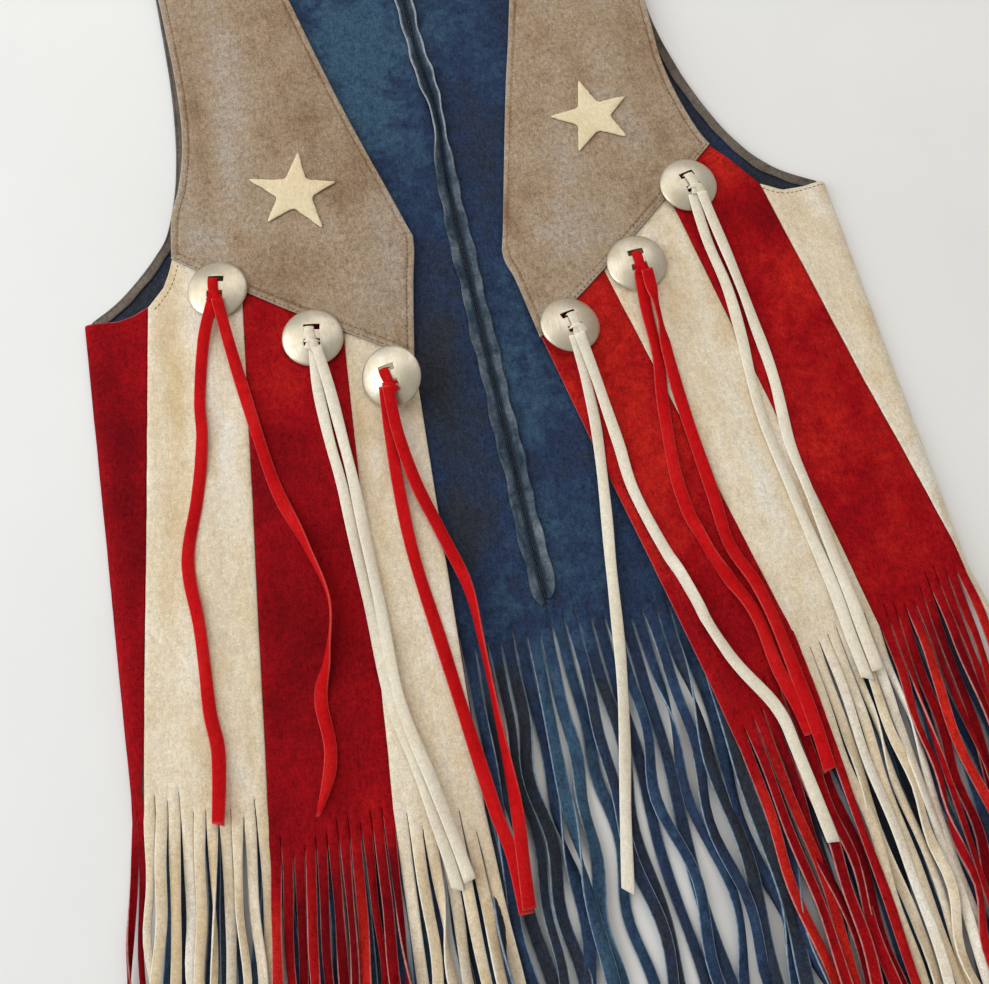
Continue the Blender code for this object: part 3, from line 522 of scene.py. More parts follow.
def suede_ripple(x, y, name):
    """Unevenness of the fronts in millimetres: one form for all layers, and finer marks for each piece."""
    depth = bpy.context.scene.vest_sizes.ripple / MM
    return depth * (ripple(x, y, "fronts", 34.0) + 0.35 * ripple(x, y, name, 11.0))


# Meshes

def to_frame(points):
    """Plan points with their heights, in the frame's metres."""
    return (np.asarray(points, float) + (0.0, CHEST_Y, 0.0)) * MM


def unit(rows):
    """Rows of vectors, each brought to length 1."""
    return rows / np.linalg.norm(rows, axis=1, keepdims=True)


def numbered(rows, columns, start=0):
    """Numbers of a grid's points, row by row."""
    return start + np.arange(rows * columns).reshape(rows, columns)


def index_quads(index):
    """Quads of a table of point numbers."""
    corners = (index[:-1, :-1], index[:-1, 1:], index[1:, 1:], index[1:, :-1])
    return np.stack(corners, axis=-1).reshape(-1, 4)


def as_sheet(points):
    """A grid of points as one list, with its quads."""
    return points.reshape(-1, 3), index_quads(numbered(*points.shape[:2]))


def new_object(name, points, faces, material, marks):
    """A smooth mesh object in the frame, with a named value for each point for every mark."""
    mesh = bpy.data.meshes.new(name)
    mesh.from_pydata(to_frame(points).tolist(), [], [list(face) for face in faces])
    for mark, values in marks.items():
        mesh.attributes.new(mark, "FLOAT", "POINT").data.foreach_set("value", np.asarray(values, np.float32))
    mesh.materials.append(material)
    mesh.shade_smooth()
    item = bpy.data.objects.new(name, mesh)
    bpy.context.scene.collection.objects.link(item)
    return item


def wear_and_shade(look, x, y):
    """How pale (+) or deep (-) a suede is made at plan points by its listed spots, some of which are painted
    shade.
    """
    total = np.zeros(len(x))
    for spot in WEAR_AND_SHADE.get(look, ()):
        away = ((x - spot.x) / spot.reach_x) ** 2 + ((y - spot.y) / spot.reach_y) ** 2
        total = total + spot.amount * np.exp(-away)
    return total


def upward_quads(top, quads):
    """Quads of an open sheet, turned to its upper side, with the direction that each faces."""
    corners = top[quads]
    facing = np.cross(corners[:, 2] - corners[:, 0], corners[:, 3] - corners[:, 1])
    if facing[:, 2].sum() < 0.0:
        return quads[:, ::-1], -facing
    return quads, facing


def shell(name, top, quads, thickness, look, tone=None, raw=None):
    """A closed suede shell under an open sheet of quads, its border softened and its raw edges marked."""
    top = np.asarray(top, float)
    quads, facing = upward_quads(top, quads)
    normals = np.zeros_like(top)
    for corner in range(4):
        np.add.at(normals, quads[:, corner], facing)
    normals /= np.linalg.norm(normals, axis=1, keepdims=True) + 1e-12
    count = len(top)
    edges = np.concatenate([quads[:, [0, 1]], quads[:, [1, 2]], quads[:, [2, 3]], quads[:, [3, 0]]])
    keys = edges.min(axis=1) * count + edges.max(axis=1)
    _, first, uses = np.unique(keys, return_index=True, return_counts=True)
    border = edges[first[uses == 1]]
    rim = np.zeros(count)
    rim[border.ravel()] = 1.0
    soften = (0.3 * thickness * rim)[:, None]
    points = np.concatenate([top - normals * soften, top - normals * (thickness - soften)])
    walls = np.column_stack([border[:, 1], border[:, 0], border[:, 0] + count, border[:, 1] + count])
    faces = np.concatenate([quads, quads[:, ::-1] + count, walls]).tolist()
    # The worn mark carries the suedes' own wear and painted shade; the tone mark carries strand tones and, on
    # the yokes and seam allowances, painted highlight and shade.
    marks = {"edge": rim if raw is None else rim * raw,
             "tone": np.zeros(count) if tone is None else np.asarray(tone, float),
             "worn": wear_and_shade(look, top[:, 0], top[:, 1])}
    marks = {mark: np.concatenate([values, values]) for mark, values in marks.items()}
    return new_object(name, points, faces, suede(look), marks)


def finish_piece(item, slot, *nodes):
    """Put a piece on the vest's body and hide the solids that it stands for."""
    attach(item, BODY)
    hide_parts(*nodes)
    return item


# Suede finish

class Wiring:
    """Adds nodes to a shader tree and links them."""

    def __init__(self, tree):
        self.tree = tree

    def add(self, kind, inputs=None, **settings):
        """A node with its settings and with values or links on its inputs."""
        node = self.tree.nodes.new("ShaderNode" + kind)
        for name, value in settings.items():
            setattr(node, name, value)
        for socket, value in (inputs or {}).items():
            if isinstance(value, bpy.types.NodeSocket):
                self.tree.links.new(value, node.inputs[socket])
            else:
                node.inputs[socket].default_value = value
        return node

    def noise(self, vector, scale, detail, roughness=0.55):
        """Cloudy values between 0 and 1."""
        inputs = {"Vector": vector, "Scale": scale, "Detail": detail, "Roughness": roughness}
        return self.add("TexNoise", inputs).outputs[0]

    def range(self, value, low, high, to_low=0.0, to_high=1.0):
        """A value stretched from one range to another."""
        inputs = {"Value": value, "From Min": low, "From Max": high, "To Min": to_low, "To Max": to_high}
        return self.add("MapRange", inputs).outputs[0]

    def math(self, operation, first, second):
        """Two values put together."""
        return self.add("Math", {0: first, 1: second}, operation=operation).outputs[0]

    def blend(self, share, first, second, blend_type="MIX"):
        """Two colours mixed by a share."""
        node = self.add("Mix", {0: share, 6: first, 7: second}, data_type="RGBA", blend_type=blend_type)
        return node.outputs[2]


def suede_group():
    """Napped suede: worn places and painted shade, bands, mottling, grain, specks, pale cut edges, and strand
    tones with painted highlight and shade.
    """
    tree = bpy.data.node_groups.new("napped_suede", "ShaderNodeTree")
    face = tree.interface
    for name in ("Colour", "Deep", "Pale", "Edge"):
        face.new_socket(name, in_out="INPUT", socket_type="NodeSocketColor")
    for name in ("Patch", "Bands", "Mottle", "Grain", "Speck"):
        face.new_socket(name, in_out="INPUT", socket_type="NodeSocketFloat")
    face.new_socket("Colour", in_out="OUTPUT", socket_type="NodeSocketColor")
    for name in ("Roughness", "Height"):
        face.new_socket(name, in_out="OUTPUT", socket_type="NodeSocketFloat")
    wire = Wiring(tree)
    given = tree.nodes.new("NodeGroupInput").outputs
    place = wire.add("TexCoord").outputs["Object"]
    warp = wire.add("TexNoise", {"Vector": place, "Scale": 30.0, "Detail": 2.0}).outputs["Color"]
    warped = wire.blend(0.012, place, warp, "LINEAR_LIGHT")
    patches = wire.noise(warped, 19.0, 4.0, 0.55)
    lengthwise = wire.add("Mapping", {"Vector": warped, "Scale": (1.0, 0.13, 1.0)}).outputs[0]
    bands = wire.noise(lengthwise, 85.0, 2.0, 0.5)
    clouds = wire.noise(warped, 95.0, 4.0, 0.65)
    mottle = wire.noise(place, 330.0, 4.0, 0.65)
    grain = wire.noise(place, 950.0, 3.0, 0.7)
    drawn = wire.add("Mapping", {"Vector": place, "Scale": (1.0, 0.28, 1.0), "Rotation": (0.0, 0.0, 0.18)})
    streaks = wire.noise(drawn.outputs[0], 700.0, 3.0, 0.6)
    specks = wire.noise(place, 300.0, 1.0, 0.4)
    edge = wire.add("Attribute", attribute_name="edge").outputs["Fac"]
    tone = wire.add("Attribute", attribute_name="tone").outputs["Fac"]
    worn = wire.add("Attribute", attribute_name="worn").outputs["Fac"]

    shift = wire.math("MULTIPLY", wire.range(patches, 0.32, 0.68, -1.0, 1.0), given["Patch"])
    banded = wire.math("MULTIPLY", wire.range(bands, 0.32, 0.68, -1.0, 1.0), given["Bands"])
    shift = wire.math("ADD", shift, banded)
    # The tone mark holds strand tones and painted highlight and shade; the worn mark below holds real wear
    # and painted shade.
    shift = wire.math("ADD", shift, wire.math("MULTIPLY", tone, 0.75))
    uneven = wire.math("MULTIPLY", worn, wire.range(clouds, 0.25, 0.65, 0.55, 1.25))
    shift = wire.math("ADD", shift, uneven)
    cloudy = wire.math("MULTIPLY", wire.range(clouds, 0.30, 0.70, -1.0, 1.0), given["Mottle"])
    shift = wire.math("ADD", shift, cloudy)
    colour_now = wire.blend(wire.range(shift, 0.0, 1.0), given["Colour"], given["Pale"])
    colour_now = wire.blend(wire.range(shift, 0.0, -1.0), colour_now, given["Deep"])
    coarse = wire.range(mottle, 0.25, 0.75, -0.20, 0.20)
    fine = wire.range(grain, 0.25, 0.75, -0.30, 0.30)
    light = wire.math("ADD", coarse, fine)
    light = wire.math("ADD", light, wire.range(streaks, 0.25, 0.75, -0.16, 0.16))
    light = wire.math("ADD", wire.math("MULTIPLY", light, given["Grain"]), 1.0)
    tint = wire.add("CombineColor", {0: light, 1: light, 2: light}).outputs[0]
    colour_now = wire.blend(1.0, colour_now, tint, "MULTIPLY")
    dots = wire.math("MULTIPLY", wire.range(specks, 0.69, 0.75), given["Speck"])
    colour_now = wire.blend(dots, colour_now, given["Deep"])
    frayed = wire.math("MULTIPLY", wire.range(edge, 0.15, 0.95), wire.range(mottle, 0.30, 0.60, 0.45, 1.0))
    colour_now = wire.blend(frayed, colour_now, given["Edge"])
    rough = wire.range(mottle, 0.2, 0.8, 0.88, 0.98)
    height = wire.math("ADD", wire.math("MULTIPLY", grain, 0.55), wire.math("MULTIPLY", mottle, 0.35))
    height = wire.math("ADD", height, wire.math("MULTIPLY", streaks, 0.25))
    out = tree.nodes.new("NodeGroupOutput").inputs
    for socket, value in (("Colour", colour_now), ("Roughness", rough), ("Height", height)):
        tree.links.new(value, out[socket])
    return tree


def plain_colour(value):
    """A colour with full alpha."""
    return (*value, 1.0)


def new_material(name):
    """A material with its Principled shader and a way to wire nodes to it."""
    material = bpy.data.materials.new(name)
    material.use_nodes = True
    return material, Wiring(material.node_tree), material.node_tree.nodes["Principled BSDF"]


def suede_material(name, group, look):
    """One suede finish."""
    material, wire, shader = new_material(name)
    finish = wire.add("Group", node_tree=group)
    for socket in ("Colour", "Deep", "Pale", "Edge"):
        finish.inputs[socket].default_value = plain_colour(getattr(look, socket.lower()))
    for socket in ("Patch", "Bands", "Mottle", "Grain", "Speck"):
        finish.inputs[socket].default_value = getattr(look, socket.lower())
    bump = wire.add("Bump", {"Height": finish.outputs["Height"], "Strength": 0.6,
                             "Distance": bpy.context.scene.vest_sizes.nap})
    wire.tree.links.new(finish.outputs["Colour"], shader.inputs["Base Color"])
    wire.tree.links.new(finish.outputs["Roughness"], shader.inputs["Roughness"])
    wire.tree.links.new(bump.outputs[0], shader.inputs["Normal"])
    shader.inputs["Specular IOR Level"].default_value = 0.04
    return material


def suede_looks():
    """The finish of each suede, from the colours that a user may change."""
    hues = bpy.context.scene.vest_colours
    return {
        "navy": SuedeLook(hues.navy, (0.029, 0.033, 0.043), (0.043, 0.087, 0.138), (0.300, 0.400, 0.500),
                          0.40, 0.20, 0.45, 1.5, 0.0),
        "seam": SuedeLook(hues.seam, (0.010, 0.011, 0.015), (0.320, 0.345, 0.380), (0.380, 0.400, 0.430),
                          0.15, 0.0, 0.18, 1.3, 0.0),
        "red": SuedeLook(hues.red, (0.150, 0.003, 0.006), (0.520, 0.019, 0.012), (0.600, 0.260, 0.230),
                         0.35, 0.12, 0.25, 1.3, 0.10),
        "cream": SuedeLook(hues.cream, (0.640, 0.480, 0.285), (0.830, 0.765, 0.650), (0.880, 0.830, 0.730),
                           0.30, 0.45, 0.15, 0.68, 0.0),
        "taupe": SuedeLook(hues.taupe, (0.230, 0.140, 0.080), (0.400, 0.330, 0.265), (0.430, 0.360, 0.300),
                           0.45, 0.15, 0.30, 1.3, 0.50),
        # Painted shade: the facing's look is a darker, greyer copy of the yokes' taupe for its place under
        # the front's armhole edge.
        "facing": SuedeLook(hues.facing, (0.050, 0.043, 0.040), (0.190, 0.160, 0.135), (0.210, 0.175, 0.145),
                            0.60, 0.0, 0.40, 1.2, 0.20),
        "star": SuedeLook(hues.star, (0.690, 0.520, 0.310), (0.830, 0.730, 0.540), (0.850, 0.750, 0.570),
                          0.30, 0.10, 0.15, 0.45, 0.10),
        "lace_red": SuedeLook(hues.lace_red, (0.330, 0.003, 0.005), (0.580, 0.020, 0.018),
                              (0.640, 0.080, 0.065), 0.35, 0.10, 0.20, 0.7, 0.0),
        "lace_cream": SuedeLook(hues.lace_cream, (0.690, 0.570, 0.390), (0.840, 0.790, 0.680),
                                (0.870, 0.820, 0.720), 0.35, 0.15, 0.12, 0.45, 0.0),
    }


def suede(name):
    """A suede material by its name, made when it is first asked for."""
    made = bpy.data.materials.get("suede_" + name)
    if made:
        return made
    group = bpy.data.node_groups.get("napped_suede") or suede_group()
    return suede_material("suede_" + name, group, suede_looks()[name])


def thread_material(name, value):
    """Twisted sewing thread."""
    made = bpy.data.materials.get(name)
    if made:
        return made
    material, wire, shader = new_material(name)
    place = wire.add("TexCoord").outputs["Object"]
    fibres = wire.noise(place, 2600.0, 2.0)
    tint = wire.blend(wire.range(fibres, 0.3, 0.7), plain_colour([part * 0.6 for part in value]),
                      plain_colour([min(part * 1.5, 1.0) for part in value]))
    wire.tree.links.new(tint, shader.inputs["Base Color"])
    bump = wire.add("Bump", {"Height": fibres, "Strength": 0.4, "Distance": 0.0002})
    wire.tree.links.new(bump.outputs[0], shader.inputs["Normal"])
    shader.inputs["Roughness"].default_value = 0.75
    return material


def nickel_material():
    """Worn nickel, dulled and warm, with fine scratches."""
    material, wire, shader = new_material("worn_nickel")
    base = bpy.context.scene.vest_colours.nickel
    place = wire.add("TexCoord").outputs["Object"]
    tarnish = wire.noise(place, 110.0, 4.0, 0.6)
    pits = wire.noise(place, 900.0, 2.0, 0.5)
    lines = 0.0
    for turn in (0.5, 1.9, 2.7):
        drawn = wire.add("Mapping", {"Vector": place, "Scale": (1.0, 0.03, 1.0),
                                     "Rotation": (0.0, 0.0, turn)})
        scratch = wire.range(wire.noise(drawn.outputs[0], 1300.0, 2.0), 0.60, 0.74)
        lines = wire.math("MAXIMUM", lines, scratch)
    tint = wire.blend(wire.range(tarnish, 0.35, 0.70), plain_colour(base),
                      plain_colour((base[0] * 0.88, base[1] * 0.82, base[2] * 0.70)))
    tint = wire.blend(wire.math("MULTIPLY", lines, 0.4), tint, plain_colour((0.36, 0.31, 0.24)))
    wire.tree.links.new(tint, shader.inputs["Base Color"])
    rough = wire.math("ADD", wire.range(tarnish, 0.3, 0.7, 0.34, 0.46), wire.math("MULTIPLY", lines, 0.12))
    wire.tree.links.new(rough, shader.inputs["Roughness"])
    height = wire.math("SUBTRACT", wire.math("MULTIPLY", pits, 0.3), lines)
    bump = wire.add("Bump", {"Height": height, "Strength": 0.22, "Distance": 0.0002})
    wire.tree.links.new(bump.outputs[0], shader.inputs["Normal"])
    shader.inputs["Metallic"].default_value = 0.84
    return material


# Fringed panels

def strand_line(strand, distance):
    """Centre and half width of a strand's upper side, at distances along it."""
    loose = ease(40.0, 110.0, distance)
    settled = ease(0.0, 30.0, distance)
    step = strand.sway * loose * np.sin(math.tau * distance / strand.wave + strand.phase)
    run = np.array([math.sin(strand.angle), -math.cos(strand.angle)])
    across = np.array([math.cos(strand.angle), math.sin(strand.angle)])
    flat = strand.root[:2] + np.outer(distance, run) + np.outer(step, across)
    centre = np.column_stack([flat, mix(strand.root[2], strand.level, settled)])
    half = mix(strand.half, np.append(across, 0.0) * strand.width / 2, settled[:, None])
    return centre, half


def wave(dice, stations, short, long):
    """A sine along a strand, with a wavelength between short and long."""
    return np.sin(math.tau * stations / dice.uniform(short, long) + dice.uniform(0.0, math.tau))


def curl_strand(strand, stations, columns, dice, free, wander, fringe):
    """Points over a strand's width at each station, narrowed, tilted, cupped and waved as cut suede lies.

    free is the share of its liveliness that a strand keeps where others lie on it, and wander is how far it
    strays sideways.
    """
    centre, half = strand_line(strand, stations)
    loose = ease(12.0, 100.0, stations)
    wiggle = wander * dice.uniform(0.3, 1.5) * loose * wave(dice, stations, 60.0, 130.0)
    lift = free * dice.uniform(0.1, 0.8) * loose * (1.0 + wave(dice, stations, 70.0, 150.0))
    twist = bpy.context.scene.vest_sizes.strand_twist
    angle = free * (twist * dice.uniform(0.2, 1.0) * wave(dice, stations, 80.0, 190.0))
    turn_at = dice.uniform(50.0, strand.length - 60.0)
    turn = dice.choice((-math.pi, math.pi))
    if free == 1.0 and dice.random() < fringe.turned:
        angle = angle + turn * ease(turn_at - 40.0, turn_at + 40.0, stations)
    angle = (angle * ease(4.0, 50.0, stations))[:, None]
    cup = (free * dice.uniform(-0.5, 0.8) * loose)[:, None]
    width = np.linalg.norm(half, axis=1, keepdims=True)
    across = half / width
    thin = dice.choice(STRAND_WIDTHS) - free * fringe.slim
    narrow = mix(1.0, thin, ease(2.0, 42.0, stations))
    width = width * (narrow * (1.0 + 0.06 * loose * wave(dice, stations, 55.0, 130.0)))[:, None]
    upward = np.array([0.0, 0.0, 1.0])
    lean = across * np.cos(angle) + upward * np.sin(angle)
    face = upward * np.cos(angle) - across * np.sin(angle)
    centre = centre + across * wiggle[:, None] + upward * (lift[:, None] + width * np.abs(np.sin(angle)))
    reach = 2.0 * np.array(columns)[None, :, None] - 1.0
    points = centre[:, None] + (lean * width)[:, None] * reach + (face * cup)[:, None] * (reach ** 2 - 0.4)
    run = unit(points[-1] - points[-2])
    points[-1] += run * reach[0] * dice.uniform(-1.6, 1.6)
    return points


def fringed_sheet(fringe, columns, outside, panel, foot):
    """Upper side of a panel with the strands that are cut from it: points, quads, tones and raw edges.

    panel gives the panel's points for shares across it (left to right) and the unevenness of the cuts' ends.
    foot gives the plan point and height where the cuts end, without that unevenness. outside are the
    shares of columns that lie beyond the fringe.
    """
    strands = fringe.strands
    cuts = random.Random(fringe.name + " cuts")
    jags = np.array([cuts.uniform(-6.0, 8.0) for _ in range(strands + 1)])
    cut = CUT / math.dist(foot(0.0)[:2], foot(1.0)[:2])
    across = []
    for index in range(strands):
        low = 0.0 if index == 0 else index / strands + cut / 2
        high = 1.0 if index == strands - 1 else (index + 1) / strands - cut / 2
        across += [mix(low, high, share) for share in columns]
    before = [share for share in outside if share < 0.0]
    after = [share for share in outside if share > 1.0]
    across = np.array(before + across + after)
    points = panel(across, np.interp(across, np.arange(strands + 1) / strands, jags))
    index = numbered(*points.shape[:2])
    tops = [points.reshape(-1, 3)]
    tones = [np.zeros(index.size)]
    raws = [np.zeros(index.size)]
    quads = [index_quads(index)]
    total = index.size
    for number in range(strands):
        dice = random.Random(f"{fringe.name} {number}")
        first = len(before) + number * len(columns)
        ends = [np.array(foot(across[column])) for column in (first, first + len(columns) - 1)]
        strand = Strand(
            root=(ends[0] + ends[1]) / 2,
            half=(ends[1] - ends[0]) / 2,
            angle=math.radians(mix(fringe.flow_left, fringe.flow_right, (number + 0.5) / strands)
                               + dice.uniform(-0.6, 0.6)),
            length=fringe.long + dice.uniform(-14.0, 0.0),
            sway=0.6 * fringe.sway * dice.uniform(0.35, 1.0),
            wave=dice.uniform(130.0, 230.0),
            phase=dice.uniform(0.0, math.tau),
            level=fringe.base + SUEDE + LEVEL_STEP * LEVEL_ORDER[(number + fringe.turn) % len(LEVEL_ORDER)],
            width=max(abs((ends[1] - ends[0])[0]), NARROW_STRAND),
        )
        evenly = np.arange(STRAND_START, strand.length - 4.0, STRAND_STEP)
        stations = np.array([*ROOT_STATIONS, *evenly, strand.length])
        stations = stations[stations > 2.5 - jags[number:number + 2].min()]
        covered = abs(strand.root[0]) >= fringe.free_out
        laced = fringe.laced[0] < strand.root[0] < fringe.laced[1]
        free = COVERED_LIFE if covered or laced else 1.0
        wander = 1.0 if covered else fringe.wander
        curled = curl_strand(strand, stations, columns, dice, free, wander, fringe)
        own = numbered(*curled.shape[:2], total)
        quads.append(index_quads(np.concatenate([own[::-1], index[:1, first:first + len(columns)]])))
        tops.append(curled.reshape(-1, 3))
        tone = dice.choice(STRAND_TONES)
        tones.append(np.repeat(tone * ease(0.0, 50.0, stations), len(columns)))
        raws.append(np.repeat(ease(0.0, 14.0, stations), len(columns)))
        total += own.size
    return np.concatenate(tops), np.concatenate(quads), np.concatenate(tones), np.concatenate(raws)


def front_fringe(front, number, stripe):
    """The fringe of one stripe and the ends of its hem, from left to right."""
    at_side = stripe.top_outer == HALF_CHEST
    ends = [(stripe.hem_inner, stripe.hem_inner_up), (stripe.hem_outer, stripe.hem_outer_up)]
    flows = [front.side * stripe.flow_inner, front.side * stripe.flow_outer]
    if front.side < 0:
        ends.reverse()
        flows.reverse()
    base = BACK_LEVEL if at_side else FRONT_LEVEL
    lefter = front.stripes[1:number - 1] if front.side < 0 else front.stripes[number:]
    turn = sum(other.strands for other in lefter)
    name = f"fringe_{front.name}_{number}"
    turned = LIVELY_FRINGES.get(name, FRONT_TURNED)
    fringe = Fringe(name, stripe.strands, *flows, FRONT_STRAND, base, FRONT_SWAY, turn,
                    free_out=BACK_SIDE * 2, turned=turned, slim=0.0, wander=FRONT_WANDER, laced=(0.0, 0.0))
    return fringe, ends


def build_stripe(front, number, stripe):
    """One suede length of a front with its fringe, from under the yoke to the strands' ends."""
    fringe, ends = front_fringe(front, number, stripe)
    at_side = stripe.top_outer == HALF_CHEST
    columns = SIDE_COLUMNS if at_side else STRAND_COLUMNS
    name = f"panel_{front.name}_{number}"
    drop = SEAM_GAP + STRIP
    along = np.concatenate([np.linspace(0.0, 0.985, STRIPE_ROWS), [0.995, 1.0]])[:, None]

    def foot(share):
        out = mix(ends[0][0], ends[1][0], share)
        up = mix(ends[0][1], ends[1][1], share) - drop
        out = to_seams(out, up, share if front.side > 0 else 1.0 - share)
        return front.side * out, up, float(front_height(front, out, up))

    def seam_shift(other, inner, up):
        own = ((stripe.hem_inner, stripe.hem_inner_up, stripe.top_inner) if inner else
               (stripe.hem_outer, stripe.hem_outer_up, stripe.top_outer))
        next_to = ((other.hem_outer, other.hem_outer_up, other.top_outer) if inner else
                   (other.hem_inner, other.hem_inner_up, other.top_inner))
        shared = [(mine + theirs) / 2 for mine, theirs in zip(own, next_to)]
        lines = []
        for hem, hem_up, top in (own, shared):
            low = hem_up - drop
            lines.append(mix(hem, top, (up - low) / (stripe_top_up(front, top) - low)))
        return lines[1] - lines[0]

    def to_seams(out, up, inward):
        if number < len(front.stripes):
            out = out + seam_shift(front.stripes[number], True, up) * (1.0 - inward)
        if number > 1:
            out = out + seam_shift(front.stripes[number - 2], False, up) * inward
        return out

    def panel(across, jag):
        inward = across if front.side > 0 else 1.0 - across
        top_out = mix(stripe.top_inner, stripe.top_outer, inward)
        hem_out = mix(stripe.hem_inner, stripe.hem_outer, inward)
        hem_up = mix(stripe.hem_inner_up, stripe.hem_outer_up, inward) - drop
        out = mix(hem_out, top_out, along)
        up = mix(hem_up, stripe_top_up(front, top_out), along)
        up = up + jag * ease(0.14, 0.0, along)
        out = to_seams(out, up, inward)
        x = front.side * out
        edge = 0.25 * np.exp(-np.minimum(inward, 1.0 - inward) * (stripe.top_outer - stripe.top_inner) / 1.6)
        return np.stack([x, up, front_height(front, out, up) + suede_ripple(x, up, name) - edge], axis=-1)

    top, quads, tones, raw = fringed_sheet(fringe, columns, (), panel, foot)
    if stripe.colour == "cream" and (front.side > 0 or stripe is front.stripes[-1]):
        tones = np.where(tones < 0.0, DEEP_CREAM * tones, tones)
    panel_raw = raw[:len(along) * stripe.strands * len(columns)].reshape(len(along), -1)
    if at_side:
        panel_raw[-1] = SIDE_RAW
    if stripe is front.stripes[-1]:
        panel_raw[:, -1 if front.side < 0 else 0] = FRONT_EDGE_RAW
    item = shell(name, top, quads, SUEDE, stripe.colour, tones, raw)
    finish_piece(item, stripe.colour, f"stripe_{front.name}_{number}", fringe.name)
    return item


def back_lift(x, y):
    """Unevenness of the back, which never sinks into the floor."""
    return 0.3 * (1.0 + ripple(x, y, "back", 42.0)) + 0.05 * (1.0 + ripple(x, y, "back marks", 12.0))


def build_back(front):
    """One half of the back with its fringe, from the shoulder and neck to the strands' ends."""
    hem_centre, hem_side = BACK_HEM[front.name]
    armhole_up = front.back_armhole[0].up
    drop = SEAM_GAP + STRIP
    rows = []
    for share in np.linspace(0.0, 0.985, BACK_ROWS):
        rows.append((BACK_SIDE, mix(hem_side - drop, armhole_up, share),
                     SEAM_GAP / 2, mix(hem_centre - drop, armhole_up, share)))
    for out, up in curve_points(front.back_armhole, np.linspace(0.0, 1.0, BACK_ROWS)):
        rows.append((out, up, SEAM_GAP / 2, min(up, BACK_NECK_UP - 4.0)))
    for share in np.linspace(0.08, 0.94, SHOULDER_ROWS):
        rows.append((mix(SHOULDER_TIP[0], NECK_POINT[0], share), mix(SHOULDER_TIP[1], NECK_POINT[1], share),
                     NECK_POINT[0] * share, mix(BACK_NECK_UP, NECK_POINT[1], share ** 2)))
    rows = np.array(rows)[:, :, None]
    ends = [(SEAM_GAP, hem_centre), (BACK_FRINGE_OUT, mix(hem_centre, hem_side, BACK_FRINGE_OUT / BACK_SIDE))]
    flows = [front.side * BACK_FLOW_CENTRE, front.side * BACK_FLOW_SIDE]
    beyond = (BACK_SIDE - SEAM_GAP) / (BACK_FRINGE_OUT - SEAM_GAP)
    outside = [mix(1.0, beyond, share) for share in (0.35, 0.7, 0.97, 1.0)]
    if front.side < 0:
        ends.reverse()
        flows.reverse()
        outside = [1.0 - share for share in reversed(outside)]
    free_out = front.stripes[-1].hem_inner + 6.0
    fringe = Fringe("fringe_back_" + front.name, BACK_STRANDS, *flows, BACK_STRAND, BACK_LEVEL, BACK_SWAY, 0,
                    free_out=free_out, turned=BACK_TURNED, slim=BACK_SLIM, wander=BACK_WANDER,
                    laced=BACK_LACED)

    def foot(share):
        out = mix(ends[0][0], ends[1][0], share)
        return front.side * out, mix(ends[0][1], ends[1][1], share) - drop, SUEDE

    def panel(across, jag):
        out = mix(ends[0][0], ends[1][0], across)
        inward = (out - SEAM_GAP) / (BACK_SIDE - SEAM_GAP)
        x = front.side * mix(rows[:, 2], rows[:, 0], inward)
        y = mix(rows[:, 3], rows[:, 1], inward)
        low = mix(hem_centre, hem_side, inward) - drop
        y = y + jag * ease(40.0, 0.0, y - low)
        return np.stack([x, y, SUEDE + back_lift(x, y)], axis=-1)

    top, quads, tones, raw = fringed_sheet(fringe, STRAND_COLUMNS, outside, panel, foot)
    item = shell("back_half_" + front.name, top, quads, SUEDE, "navy", tones, raw)
    finish_piece(item, "navy", "back_" + front.name, fringe.name)
    return item


# Smaller sheets

def spaced(total, near, step):
    """Shares along a length, at given distances from both ends and evenly between."""
    near = np.array(near)
    count = max(int((total - 2 * near[-1]) / step), 2)
    middle = np.linspace(near[-1], total - near[-1], count + 1)[1:-1]
    return np.concatenate([near, middle, (total - near)[::-1]]) / total


def groove(distance, at):
    """Dent that a row of stitches pulls into the suede."""
    return -0.34 * np.exp(-((distance - at) / 0.75) ** 2)


def build_yoke(front):
    """The upper front, from its diagonal lower edge to the shoulder, dented along its topstitching."""
    name = "yoke_front_" + front.name
    topstitch = bpy.context.scene.vest_sizes.topstitch / MM
    along = spaced(300.0, NEAR_EDGE, 2.6)
    inner = curve_points(front.yoke_edge, along)
    outer = curve_points(front.armhole, along)
    wide = np.linalg.norm(outer - inner, axis=1)
    columns = len(spaced(120.0, NEAR_EDGE, 2.6))
    points = []
    tones = []
    for row, share in enumerate(along):
        near = np.array(NEAR_EDGE)
        middle = np.linspace(near[-1], wide[row] - near[-1], columns - 2 * len(near) + 2)[1:-1]
        across = np.concatenate([near, middle, (wide[row] - near)[::-1]]) / wide[row]
        out = mix(inner[row, 0], outer[row, 0], across)
        up = mix(inner[row, 1], outer[row, 1], across)
        up = up + DIAGONAL_BOW * np.sin(math.pi * across) * (1.0 - share) ** 4
        x = front.side * out
        height = yoke_height(front, out, up) + suede_ripple(x, up, name)
        low = (up - diagonal_up(front, out)) * 0.82
        for distance in (across * wide[row], (1.0 - across) * wide[row]):
            height = height + groove(distance, topstitch)
        height = height + groove(low, SEAM_ROW) + groove(low, topstitch + SECOND_ROW)
        points.append(np.column_stack([x, up, height]))
        # Painted highlight along the yoke's rolled edges and painted shade in the dent of its topstitching,
        # carried in the tone mark.
        near_edge = np.minimum(np.minimum(across, 1.0 - across) * wide[row], np.maximum(low, 0.0))
        tones.append(0.75 * np.exp(-near_edge / 2.2) - 0.9 * np.exp(-((near_edge - topstitch) / 0.8) ** 2))
    points = np.array(points)
    top, quads = as_sheet(points)
    item = shell(name, top, quads, SUEDE, "taupe", np.concatenate(tones))
    finish_piece(item, "taupe", "yoke_" + front.name)
    return item


